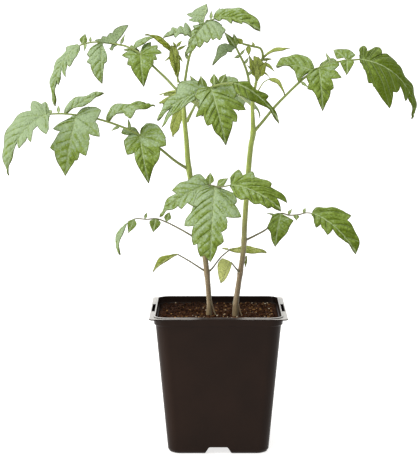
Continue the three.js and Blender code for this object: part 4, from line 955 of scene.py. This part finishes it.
        leaflet(0.45, [-37, 36, 305], [0, -0.5, 1], 20, 0, 6),
        leaflet(0.85, [-20, 62, 307], [0, -0.5, 1], 20, 0, 5),
     ]},
    {"name": "frond_back_right", "stem": "right", "radii": [1, 0.55],
     "rachis": [[30, -6, 297], [25, 6, 301], [20, 26, 304], [18, 50, 305], [17, 68, 305]],
     "blades": [
        blade(0.42, [37, 32, 285], [0.8, -0.5, 1], 60, 6,
          [[14, 8], [28, 24], [44, 26], [48, 17], [66, 20], [72, 12], [86, 10]],
          [[14, 8], [26, 22], [42, 26], [46, 16], [64, 18], [70, 11], [86, 9]]),
        blade(0.66, [1, 52, 284], [-0.7, 0.2, 1], 60, 6,
          [[12, 8], [24, 28], [38, 34], [42, 22], [58, 28], [64, 16], [82, 14]],
          [[12, 8], [22, 28], [36, 36], [42, 20], [60, 26], [66, 15], [82, 14]]),
        blade(1, [19, 118, 287], [0.1, 0.6, 1], 50, 6,
          [[6, 10], [16, 30], [28, 36], [32, 20], [50, 32], [56, 18], [72, 22], [78, 12], [90, 10]],
          [[6, 8], [14, 32], [26, 37], [30, 22], [46, 33], [54, 18], [70, 25], [76, 13], [88, 11]]),
        leaflet(0.55, [26, 40, 309], [0, -0.5, 1], 20, 0, 6),
        leaflet(0.8, [5, 62, 308], [0, -0.5, 1], 20, 0, 5),
     ]},
]


# Hairs

HAIR_LEAN = 0.3  # how far a hair leans from square to the skin
HAIR_SINK = 0.1  # how deep its foot is in the skin, in mm
HAIR_LENGTHS = (0.6, 1.2)  # the shortest and the longest, against the length asked for


def hairs(rings, count, length, width, paint):
    """Short three-sided needles on a tube: each stands on a random place of its wall, square to it but for a
    small lean, and is one closed tetrahedron."""
    rows, sides, _ = rings.shape
    row = rng.uniform(0, rows - 1.001, count)  # never quite the last ring
    low, share = row.astype(int), (row % 1)[:, None]
    k = rng.integers(0, sides, count)
    foot = rings[low, k] * (1 - share) + rings[low + 1, k] * share
    middle = rings.mean(axis=1)
    outward = unit(foot - middle[low] * (1 - share) - middle[low + 1] * share)
    lean = unit(outward + rng.normal(0, HAIR_LEAN, (count, 3)))
    tip = foot + lean * (length * rng.uniform(*HAIR_LENGTHS, count))[:, None]
    first = unit(np.cross(lean, rng.normal(0, 1, (count, 3))))
    second = np.cross(lean, first)
    turn = np.arange(3) * 2 * math.pi / 3
    base = (foot - outward * HAIR_SINK)[:, None] + width / 2 * (
        np.cos(turn)[:, None] * first[:, None] + np.sin(turn)[:, None] * second[:, None])
    points = np.concatenate([base, tip[:, None]], axis=1).reshape(-1, 3)
    needle = np.array([(0, 1, 3), (1, 2, 3), (2, 0, 3), (0, 2, 1)])
    faces = (np.arange(count)[:, None, None] * 4 + needle).reshape(-1, 3)
    return shell(points, [faces], paint)


# Stems

STEMS = {
    "left": {
        "points": [
            [-8, -12, 80], [-8, -12, 114], [-8, -12, 129], [-10, -12, 154], [-13, -12, 178],
            [-18, -11, 205], [-23, -10, 230], [-26, -10, 249], [-27.5, -10, 269], [-29, -9, 284],
            [-30, -9, 300], [-33, -9, 312], [-34.4, -9, 317],
        ],
        "radii": [2.4, 2.6, 2.2, 2.3, 2.4, 2.4, 2.4, 2.4, 2.1, 1.9, 1.6, 1.3, 0.9],
        "root": [[-6.5, -12, 130], [-5, -12.4, 124], [-3, -13, 118], [0, -14, 112]],
    },
    "right": {
        "points": [
            [15, -12, 80], [15, -12, 114], [15.6, -12, 129], [19, -11, 153], [22, -10, 175], [23, -10, 198],
            [26, -8, 241], [28, -8, 263], [30, -7, 275], [29.4, -6, 294], [30, -6, 306], [31.6, -6, 314],
            [32.6, -6, 319],
        ],
        "radii": [2.7, 3, 2.5, 2.2, 2.3, 2.3, 2.3, 2.3, 2.3, 1.6, 1.4, 1.2, 0.9],
        "root": [[17, -12, 127], [18.6, -12.6, 121], [20, -13, 117], [22, -14, 112]],
    },
}
PALE_SIDE = (-0.95, -0.1, 0)  # where a stem's paler side looks, with painted light on it, in shares of the full change
NODE_SWELL = {"height": 0.3, "reach": 2.6, "most": 1.2}  # how a stem thickens where a petiole leaves it
RIDGES = {"height": 0.025, "count": 5, "twist": 30}  # along the stem, as a share of its radius
ROOT_RADII = [0.75, 0.45]
STEM_GRID = {"sides": 20, "step": 1.6}
ROOT_GRID = {"sides": 8, "step": 1.5}
RACHIS_GRID = {"sides": 10, "step": 1.8}
BARE_RINGS = 22  # rings of the stem that have no hairs, up to a little above the soil
# Hairs in mm, thicker than real ones, so that they show
STEM_HAIR = {"count": 1500, "length": 1.1, "width": 0.1}
PETIOLE_HAIR = {"length": 0.6, "width": 0.08}
HAIRS_PER_MM = 4  # of petiole and rachis
TONE_SPREAD = 0.3  # how much paler than its kind a blade without a tone of its own may be


def make_stem(side):
    """A stem of slightly lobed section that swells at its nodes, a thin root down into the soil, and
    hairs."""
    stem = STEMS[side]
    nodes = [frond["rachis"][0][2] for frond in FRONDS if frond["stem"] == side]

    def radius(share, way, angle):
        """The stem's radius from its list, with ridges by the cosine of the angle, and swollen by a bell
        curve of the height above or below each node."""
        height = curve_at(stem["points"], share[:, 0])[:, 2:]
        swell = sum(np.exp(-((height - z) / NODE_SWELL["reach"]) ** 2) for z in nodes)
        ridges = RIDGES["height"] * np.cos(RIDGES["count"] * angle + way / RIDGES["twist"])
        swell = NODE_SWELL["height"] * np.minimum(swell, NODE_SWELL["most"])
        return spread(stem["radii"], share) * (1 + ridges) + swell

    rings = tube(stem["points"], radius, **STEM_GRID)
    root = tube(stem["root"], lambda share, way, angle: spread(ROOT_RADII, share), **ROOT_GRID)
    outward = unit(rings - rings.mean(axis=1, keepdims=True))
    # How far each point of the stem looks towards PALE_SIDE, which its painted light and shade follow
    facing = np.append(outward @ np.array(PALE_SIDE), (0, 0))
    shells = [
        shell(capped(rings), tube_faces(*rings.shape[:2]), facing=facing),
        shell(capped(root), tube_faces(*root.shape[:2])),
        hairs(rings[BARE_RINGS:], **STEM_HAIR, paint=1),
    ]
    made = piece(f"hairy_stem_{side}", shells, [STEM, HAIR])
    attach(made, "root")
    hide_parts(f"stem_{side}")


# Fronds, cotyledons and the leaves round the growing tips

# By the start of a piece's name, the first that fits: its leaf tissue, its slot, and how deep the green is of
# blades that TONES doesn't give
KINDS = {
    "frond_back_left": (YOUNG_LEAF, "leaf", 0.5),
    "frond": (LEAF, "leaf", 0.9),
    "leaf": (YOUNG_LEAF, "young_leaf", 0.5),
    "cotyledon": (COTYLEDON, "cotyledon", 0.4),
}

# How deep the green is of a frond's first blades, in the order of its list
# Some blades are paler or deeper than their kind to paint in the light and shade that fall on them
TONES = {
    "cotyledon_left_a": (1.1,),
    "cotyledon_left_b": (0.45,),
    "cotyledon_right_a": (-0.2,),
    "cotyledon_right_b": (-0.8,),
    "frond_left_low": (0.1,),
    "frond_right_low": (1.0, 0.85),
    "frond_front_low": (0.5, 0.35, 0.9),
    "frond_left_mid": (0.7, 0.35, 0.25, 0.3, 0.6),
    "frond_front_top": (0.4, 0.65, 1.2),
    "frond_left_top": (0.85, 0.2, 0.3, -0.6, 0.6),
    "frond_top": (0.75, 0.0, 0.35, 0.25),
    "leaf_left_tip": (0.05, 1.0, 1.1, 0.9, 0.7),
    "frond_right_main": (0.8, 0.75, 0.9, 0.6, 1.35),
    "frond_right_upper": (-0.8,),
    "leaf_right_tip": (-0.3, 0.0, -0.5, 0.0, 0.2, 0.6, 0.4),
    "frond_back_left": (0.1,),
    "frond_back_right": (0.05, 0.4, 0.3),
}


def make_frond(frond):
    """A petiole and rachis that thickens at the stem, with its blades and its hairs, as one piece."""
    name = frond["name"]
    kind = next(kind for kind in KINDS if name.startswith(kind))
    tissue, slot, tone = KINDS[kind]
    tones = TONES.get(name, ())

    def radius(share, way, angle):
        """The rachis's radius from its list, thickened at the stem by what falls off with the distance."""
        foot = PETIOLE_FOOT["swell"] * np.exp(-way / PETIOLE_FOOT["reach"])
        return spread(frond["radii"], share) + foot

    rings = tube(frond["rachis"], radius, **RACHIS_GRID)
    length = np.linalg.norm(np.diff(frond["rachis"], axis=0), axis=1).sum()
    shells = [
        shell(capped(rings), tube_faces(*rings.shape[:2]), 1),
        hairs(rings, int(length * HAIRS_PER_MM), **PETIOLE_HAIR, paint=2),
    ]
    for number, leaf in enumerate(frond["blades"]):
        base = curve_at(frond["rachis"], leaf["at"])[0]
        own = tones[number] if number < len(tones) else tone + rng.uniform(-TONE_SPREAD, 0)
        shells.append(blade_shell(leaf, base, 0, own, rng.uniform(0, 2 * math.pi)))
    made = piece(f"grown_{name}", shells, [tissue, PETIOLE, HAIR])
    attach(made, "root")
    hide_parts(name)


# Pot

CORNER_STEPS = 14  # flats round one corner
EDGE_ROUND = 0.45  # reach of the small rounding at each turn of the pot's profile, in mm
EDGE_SHARE = 0.4  # and the most that it takes of a short stretch
LEDGE_EDGE = {"shrink": 0.996, "height": 0.25}  # the slightly rounded edge of the ledge
NOTCH_CORNER = {"out": 0.4, "in": 0.7, "down": 0.9}  # how the roof of a notch meets its sides
SHARP_EDGE = 32  # degrees: an edge that turns by less is shaded as one smooth surface
PAINTED_RIM = 0.5  # how far under the ledge's top a face still counts as rim, in mm
LEVEL = 0.5  # least height of the normal of a face that looks up


def square_ring(half_x, half_y, corner):
    """A rectangle with round corners, seen from above: a quarter of a circle round the middle of each
    corner."""
    quarter = np.arange(4)[:, None]
    angle = ((quarter + np.linspace(0, 1, CORNER_STEPS + 1)) * math.pi / 2).ravel()
    middle = np.repeat((quarter + 0.5) * math.pi / 2, CORNER_STEPS + 1)
    x = np.sign(np.cos(middle)) * (half_x - corner) + corner * np.cos(angle)
    y = np.sign(np.sin(middle)) * (half_y - corner) + corner * np.sin(angle)
    return np.stack([x, y], 1)


def eased(levels):
    """A profile with each of its turns replaced by three points of a short arc: where it starts, halfway from
    the turn to the middle between start and end, and where it ends."""
    levels = np.asarray(levels, float)
    before, corner, after = levels[:-2], levels[1:-1], levels[2:]

    def towards(other):
        """The point on the way from each turn to another point where the turn's rounding ends."""
        step = other - corner
        return corner + step * np.minimum(EDGE_SHARE, EDGE_ROUND / np.linalg.norm(step, axis=1))[:, None]

    start, end = towards(before), towards(after)
    arc = np.stack([start, (start + 2 * corner + end) / 4, end], 1).reshape(-1, 3)
    return np.concatenate([levels[:1], arc, levels[-1:]])


def hidden_solid(name, rings):
    """A closed solid from stacked rings, which only takes part in a cut."""
    return piece(name, [shell(capped(rings), tube_faces(*rings.shape[:2]))], [])


def level_ring(outline, z):
    """An outline seen from above, at a height."""
    return np.column_stack([outline, np.full(len(outline), z)])


def stacked(name, levels):
    """A solid of round-cornered squares, one above the other: half the width, corner radius and height of
    each."""
    return hidden_solid(name, np.array([level_ring(square_ring(half, half, corner), z)
                                        for half, corner, z in levels]))


def prism(name, section, low, high):
    """A section in x and z, carried along y from low to high."""
    section = np.asarray(section, float)
    rings = [np.column_stack([section[:, 0], np.full(len(section), y), section[:, 1]]) for y in (high, low)]
    return hidden_solid(name, np.array(rings))


def notch(grow, turn):
    """The space under one side of the pot: a section that narrows upwards, grown by `grow` all round."""
    bottom, top = FOOT["bottom"] / 2 + grow, FOOT["top"] / 2 + grow
    height = FOOT["height"] + grow
    right = [(bottom, -PAST), (bottom, 0), (top + NOTCH_CORNER["out"], height - NOTCH_CORNER["down"]),
             (top - NOTCH_CORNER["in"], height)]
    section = [(-bottom, -PAST), *right, *((-x, z) for x, z in right[:0:-1])]
    made = prism("notch", section, -FLANGE["half_x"] - PAST, -FOOT["inner"] + grow)
    turned(made, turn)
    return made


def turned(made, angle):
    """Turns a mesh about the pot's middle."""
    points = np.empty(len(made.data.vertices) * 3, np.float32)
    made.data.vertices.foreach_get("co", points)
    points = points.reshape(-1, 3)
    c, s = math.cos(angle), math.sin(angle)
    points = points @ np.array([[c, s, 0], [-s, c, 0], [0, 0, 1]])
    made.data.vertices.foreach_set("co", points.astype(np.float32).ravel())


def carved(body, operation, tools):
    """The body joined with the tools or cut by them, exactly. The tools are removed."""
    for tool in tools:
        change = body.modifiers.new("carving", "BOOLEAN")
        change.operation = operation
        change.solver = "EXACT"
        change.object = tool
    bpy.context.view_layer.update()
    result = bpy.data.meshes.new_from_object(body.evaluated_get(bpy.context.evaluated_depsgraph_get()))
    body.modifiers.clear()
    body.data = result
    for tool in tools:
        bpy.data.objects.remove(tool)
    return body


def paint_pot(mesh, ledge_bottom):
    """Gives the faces that look up at the rim their painted reflection, and those in the slots their painted
    shade.
    """
    mesh.materials.clear()
    for material in (POT, RIM, SLOT_FLOOR):
        mesh.materials.append(material)
    centre = np.empty(len(mesh.polygons) * 3, np.float32)
    mesh.polygons.foreach_get("center", centre)
    normal = np.empty(len(mesh.polygons) * 3, np.float32)
    mesh.polygons.foreach_get("normal", normal)
    upward = normal.reshape(-1, 3)[:, 2] > LEVEL
    centre = centre.reshape(-1, 3) / MM
    at_rim = centre[:, 2] > FLANGE_TOP - PAINTED_RIM
    in_slot = (np.abs(centre[:, 0]) > SLOT["inner"]) & (centre[:, 2] > ledge_bottom)
    paint = np.where(upward & at_rim, 1, np.where(upward & in_slot, 2, 0))
    mesh.polygons.foreach_set("material_index", paint.astype(np.int32))
    mesh.shade_smooth()
    mesh.set_sharp_from_angle(angle=math.radians(SHARP_EDGE))


def make_pot():
    """The pot: wall and ledge joined, then the room, the slots, the drainage notches and their holes cut
    away."""
    turns = [quarter * math.pi / 2 for quarter in range(4)]
    wall = stacked("moulded_pot", eased(OUTER))
    ring = square_ring(FLANGE["half_x"], FLANGE["half_y"], FLANGE["corner"])
    low = FLANGE_TOP - FLANGE_THICK
    shrink, edge = LEDGE_EDGE["shrink"], LEDGE_EDGE["height"]
    ledge = hidden_solid("ledge", np.array([level_ring(ring * share, z) for share, z in (
        (shrink, low), (1, low + edge), (1, FLANGE_TOP - edge), (shrink, FLANGE_TOP))]))
    room = carved(stacked("room", eased(INNER)), "DIFFERENCE", [notch(WALL, turn) for turn in turns])
    slots = []
    for side in (-1, 1):
        inner, outer = side * SLOT["inner"], side * SLOT["outer"]
        low_x, high_x = min(inner, outer), max(inner, outer)
        floor = low + SLOT["skin"]
        section = [(low_x, floor), (high_x, floor), (high_x, FLANGE_TOP + PAST), (low_x, FLANGE_TOP + PAST)]
        slots.append(prism("slot", section, -SLOT["half"], SLOT["half"]))
    drains = []
    for turn in turns:
        angle = np.linspace(0, 2 * math.pi, DRAIN["sides"], endpoint=False)
        circle = DRAIN["radius"] * np.stack([np.cos(angle), np.sin(angle)], 1) - (0, DRAIN["from"])
        hole = hidden_solid("drain", np.array([level_ring(circle, z) for z in (
            FOOT["height"] - 2 * PAST, FOOT["height"] + PAST)]))
        turned(hole, turn)
        drains.append(hole)
    pot = carved(carved(wall, "UNION", [ledge]), "DIFFERENCE",
                 [room, *slots, *drains, *(notch(0, turn) for turn in turns)])
    paint_pot(pot.data, low)
    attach(pot, "root")
    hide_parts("pot")


# Soil

CRUST_STEP = 1.2  # between the points of the surface, in mm
CRUST_HALF = 51.9
CRUST_CORNER = 10
CRUST_DEEP = 3  # from the soil's level down to the underside of the crust
CRUST_OVER = 0.1  # how far the crust lies above the CAD model's soil
CRUST_EDGE = {"least": 0.35, "reach": 5}  # the lumps get lower towards the wall
CRUST_TONE = {"least": 0.15, "range": 0.5, "patch": 2.1}
GRAIN_BORDER = 3  # the strip along the wall where no grain lies, in mm
EDGE_RANGE = (0.1, 1.2)  # corners of a stone of radius 1 share an edge when they are so far apart
DENTS = (0.75, 1.2)  # how far in and out a grain's corners go
LIE_FLAT = 3  # the more, the flatter the grains lie
BACK_SHADE = {"slant": 0.5, "from": 5, "over": 55}  # where the painted shade begins, and the way to where it is full
# how much the painted shade darkens the mix where it is full
BACK_SHADE_DARKENS = 0.7

# Lumps of three sizes: the grid they are made on and their height, in mm
LUMP_SIZES = ((9, 1.0), (3.2, 1.3), (1.3, 0.9))
LUMP_CELLS = 240
LUMP_ORIGIN = 80  # how far left of and before the pot's middle the grids begin

# What lies loose on the mix: peat crumbs, bark chips and perlite. `size` is from and to, in mm, `sink` the
# share of a grain that is under the surface, `bright` the tone from and to, and `lean` draws the grains
# towards the right.
GRAINS = [
    {"count": 1300, "size": (0.9, 2.6), "stretch": (1, 1, 0.8), "sink": 0.35, "paint": 0,
     "bright": (0.05, 0.75), "lean": 0},
    {"count": 330, "size": (1.4, 3.8), "stretch": (1, 0.45, 0.35), "sink": 0.25, "paint": 1,
     "bright": (0, 1), "lean": 0.8},
    {"count": 45, "size": (0.9, 2.3), "stretch": (1, 0.9, 0.8), "sink": 0.35, "paint": 2,
     "bright": (0, 0.9), "lean": 1.4},
]


def soil_height(x, y):
    """The CAD model's soil: its level, and two gentle waves that cross it."""
    return SOIL_TOP + SOIL_WAVE * (np.sin(x / 9 + 1) * np.cos(y / 11) + 0.6 * np.sin(x / 5 - y / 6.5))


def lumps(x, y, cell, field):
    """Smooth random heights from 0 to 1: a random number at each crossing of a grid of `cell` mm, and between
    them a blend of the four nearest, whose shares ease in and out."""
    u, v = (x + LUMP_ORIGIN) / cell, (y + LUMP_ORIGIN) / cell
    i, j = u.astype(int), v.astype(int)
    a, b = (3 * f * f - 2 * f ** 3 for f in (u - i, v - j))
    return ((field[i, j] * (1 - a) + field[i + 1, j] * a) * (1 - b)
            + (field[i, j + 1] * (1 - a) + field[i + 1, j + 1] * a) * b)


LUMPS = [(cell, height, rng.random((LUMP_CELLS, LUMP_CELLS))) for cell, height in LUMP_SIZES]


def crust_height(x, y):
    """The soil's surface with its lumps: three sizes of them, and lower along the wall."""
    rise = sum(height * lumps(x, y, cell, field) for cell, height, field in LUMPS)
    to_wall = CRUST_HALF - np.maximum(np.abs(x), np.abs(y))
    fade = np.clip(CRUST_EDGE["least"] + to_wall / CRUST_EDGE["reach"], 0, 1)
    return soil_height(x, y) + CRUST_OVER + rise * fade


def back_shade_share(x, y):
    """How much painted shade darkens the mix, from 0 to 1: it rises evenly towards the back on the left."""
    return np.clip((y - BACK_SHADE["slant"] * x - BACK_SHADE["from"]) / BACK_SHADE["over"], 0, 1)


def make_crust():
    """The top of the potting mix: a square grid that the lumps raise. Its corner squares are drawn in to
    quarter circles: the larger of a point's two distances past the corner's middle becomes its whole distance
    from there."""
    line = np.linspace(-CRUST_HALF, CRUST_HALF, round(2 * CRUST_HALF / CRUST_STEP) + 1)
    y, x = np.meshgrid(line, line, indexing="ij")
    inner = CRUST_HALF - CRUST_CORNER
    past_x, past_y = (np.maximum(np.abs(value) - inner, 0) for value in (x, y))
    reach = np.hypot(past_x, past_y)
    share = np.where(reach > 0, np.maximum(past_x, past_y) / np.maximum(reach, 1e-9), 1)
    x, y = (np.sign(value) * (np.minimum(np.abs(value), inner) + past * share)
            for value, past in ((x, past_x), (y, past_y)))
    top = np.stack([x, y, crust_height(x, y)], -1).reshape(-1, 3)
    under = np.stack([x, y, np.full_like(x, SOIL_TOP - CRUST_DEEP)], -1).reshape(-1, 3)
    patches = lumps(x, y, CRUST_TONE["patch"], LUMPS[1][2])
    unshaded_tone = CRUST_TONE["least"] + CRUST_TONE["range"] * patches
    # Painted shade: the mix is darker towards the back on the left
    tone = (unshaded_tone * (1 - BACK_SHADE_DARKENS * back_shade_share(x, y))).ravel()
    return shell(np.concatenate([top, under]), sheet_faces(*x.shape), 0, tone=np.concatenate([tone, tone]))


def stone():
    """The twelve corners of an icosahedron of radius 1, and its faces turned outwards: every three corners
    that are one edge apart."""
    golden = (1 + math.sqrt(5)) / 2
    corners = unit(np.array([(0, a, b * golden) for a in (-1, 1) for b in (-1, 1)], float))
    corners = np.concatenate([corners, np.roll(corners, 1, axis=1), np.roll(corners, 2, axis=1)])
    apart = np.linalg.norm(corners[:, None] - corners[None], axis=-1)
    near = (apart > EDGE_RANGE[0]) & (apart < EDGE_RANGE[1])
    trios = np.array(list(itertools.combinations(range(len(corners)), 3)))
    a, b, c = trios.T
    faces = trios[near[a, b] & near[b, c] & near[c, a]]
    one, two, three = (corners[faces[:, k]] for k in range(3))
    outward = (np.cross(two - one, three - one) * one).sum(axis=1)
    faces[outward < 0] = faces[outward < 0, ::-1]
    return corners, faces


def grains(count, size, stretch, sink, paint, bright, lean):
    """Loose grains, spread over the crust at random, and more thickly towards the right by `lean`. Each has
    the corners of a stone, moved in or out at random, is stretched and turned so that it lies rather flat,
    and is sunk into the crust."""
    corners, faces = stone()
    share = rng.uniform(0, 1, (count, 2))
    share[:, 0] **= 1 / (1 + lean)
    x, y = ((2 * share - 1) * (CRUST_HALF - GRAIN_BORDER)).T
    scale = rng.uniform(*size, (count, 1, 1)) / 2
    knobs = corners * rng.uniform(*DENTS, (count, len(corners), 1)) * np.array(stretch) * scale
    spin = rng.normal(0, 1, (count, 3, 3))
    spin[:, :, 2] += (0, 0, LIE_FLAT)
    turn, _ = np.linalg.qr(spin[:, :, ::-1])
    turn = turn[:, :, ::-1]
    turn *= np.sign(np.linalg.det(turn))[:, None, None]
    middle = np.stack([x, y, crust_height(x, y) + scale[:, 0, 0] * (1 - 2 * sink) * stretch[2]], 1)
    points = np.einsum("nij,nkj->nki", turn, knobs) + middle[:, None]
    every = (np.arange(count)[:, None, None] * len(corners) + faces).reshape(-1, 3)
    # The grains get the same painted shade as the crust
    tone = np.repeat(rng.uniform(*bright, count) * (1 - BACK_SHADE_DARKENS * back_shade_share(x, y)), len(corners))
    return shell(points.reshape(-1, 3), [every], paint, tone=tone)


def make_soil():
    """The crust with its loose crumbs, bark and perlite, over the CAD model's soil."""
    shells = [make_crust(), *(grains(**kind) for kind in GRAINS)]
    made = piece("potting_mix_surface", shells, [PEAT, BARK, PERLITE], sharp=40)
    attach(made, "root")
    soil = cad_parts["soil"]
    soil.data.materials.clear()
    soil.data.materials.append(PEAT)


# Stage

FLOOR_HALF = 30  # m
FLOOR_GLOW = 0.8  # the floor lights its own shadows, so that the notches in the foot show nearly white

# The surround's brightness overhead, its change towards the right and its change towards the back
SURROUND = {"middle": 0.92, "right": -0.25, "back": 0.4}

# The lights: their places in metres, and their angles in degrees
KEY = {"power": 2.7, "spread": 64, "from": (-0.6, -0.58, 1.12)}
LOW_LIGHT = {"power": 26, "radius": 0.07, "cone": 16, "soft_edge": 0.8,
             "from": (-0.5, -0.2, 0.05), "to": (-0.03, -0.05, 0.055)}


def add_light(lamp, place, target):
    """Hangs a lamp at a place and points it at a target: tipped from straight down by the angle of the way
    there, then turned round to it."""
    light = bpy.data.objects.new(lamp.name, lamp)
    light.location = place
    x, y, z = np.subtract(place, target)
    light.rotation_euler = (math.atan2(math.hypot(x, y), z), 0, math.atan2(x, -y))
    bpy.context.scene.collection.objects.link(light)


def make_floor():
    """A wide floor of white acrylic, softly lit from below."""
    mesh = bpy.data.meshes.new("floor")
    corners = [(x * FLOOR_HALF, y * FLOOR_HALF, 0) for x, y in ((-1, -1), (1, -1), (1, 1), (-1, 1))]
    mesh.from_pydata(corners, [], [(0, 1, 2, 3)])
    material, tree, _ = new_material("lit_white_acrylic")
    skin = add_node(tree, "ShaderNodeBsdfPrincipled", {
        "Base Color": colour(0xB6B5B4), "Roughness": 0.9,
        "Emission Color": colour(0xFCFBFA), "Emission Strength": FLOOR_GLOW})
    add_node(tree, "ShaderNodeOutputMaterial", {"Surface": skin.outputs[0]})
    mesh.materials.append(material)
    floor = bpy.data.objects.new("floor", mesh)
    bpy.context.scene.collection.objects.link(floor)


def make_surround():
    """A soft white surround: its brightness changes evenly with the part of each direction that goes to the
    right, and the part that goes to the back, where it is brightest."""
    world = bpy.data.worlds.new("studio")
    world.use_nodes = True
    tree = world.node_tree
    towards = add_node(tree, "ShaderNodeTexCoord").outputs["Generated"]
    split = add_node(tree, "ShaderNodeSeparateXYZ", {0: towards})
    sideways = add_node(tree, "ShaderNodeMath", {0: split.outputs["X"], 1: SURROUND["right"],
                                                 2: SURROUND["middle"]}, operation="MULTIPLY_ADD")
    strength = add_node(tree, "ShaderNodeMath", {0: split.outputs["Y"], 1: SURROUND["back"],
                                                 2: sideways.outputs[0]}, operation="MULTIPLY_ADD")
    tree.nodes["Background"].inputs["Color"].default_value = colour(0xFFFFFF)
    tree.links.new(strength.outputs[0], tree.nodes["Background"].inputs["Strength"])
    bpy.context.scene.world = world


def make_lights():
    """One soft key light from the upper left, and a small low one that draws the left corner of the pot."""
    key = bpy.data.lights.new("key", "SUN")
    key.energy = KEY["power"]
    key.angle = math.radians(KEY["spread"])
    add_light(key, KEY["from"], (0, 0, 0))
    low = bpy.data.lights.new("low", "SPOT")
    low.energy = LOW_LIGHT["power"]
    low.shadow_soft_size = LOW_LIGHT["radius"]
    low.spot_size = math.radians(LOW_LIGHT["cone"])
    low.spot_blend = LOW_LIGHT["soft_edge"]
    add_light(low, LOW_LIGHT["from"], LOW_LIGHT["to"])


def make_camera():
    """The photograph's camera: it stands in front, higher than the pot, and looks down by a few degrees."""
    camera = bpy.data.cameras.new("camera")
    camera.sensor_fit = "AUTO"
    camera.sensor_width = SENSOR
    camera.lens = FOCAL_PIXELS * SENSOR / max(PHOTO)
    camera.clip_start = 0.05
    camera.clip_end = 100
    made = bpy.data.objects.new("camera", camera)
    made.location = [value * MM for value in CAMERA_AT]
    made.rotation_euler = (math.radians(90 - CAMERA_DOWN), 0, 0)
    bpy.context.scene.collection.objects.link(made)
    bpy.context.scene.camera = made
    bpy.context.scene.view_settings.view_transform = "Standard"


make_camera()
make_floor()
make_surround()
make_lights()
make_pot()
make_soil()
for side in STEMS:
    make_stem(side)
for frond in FRONDS:
    make_frond(frond)
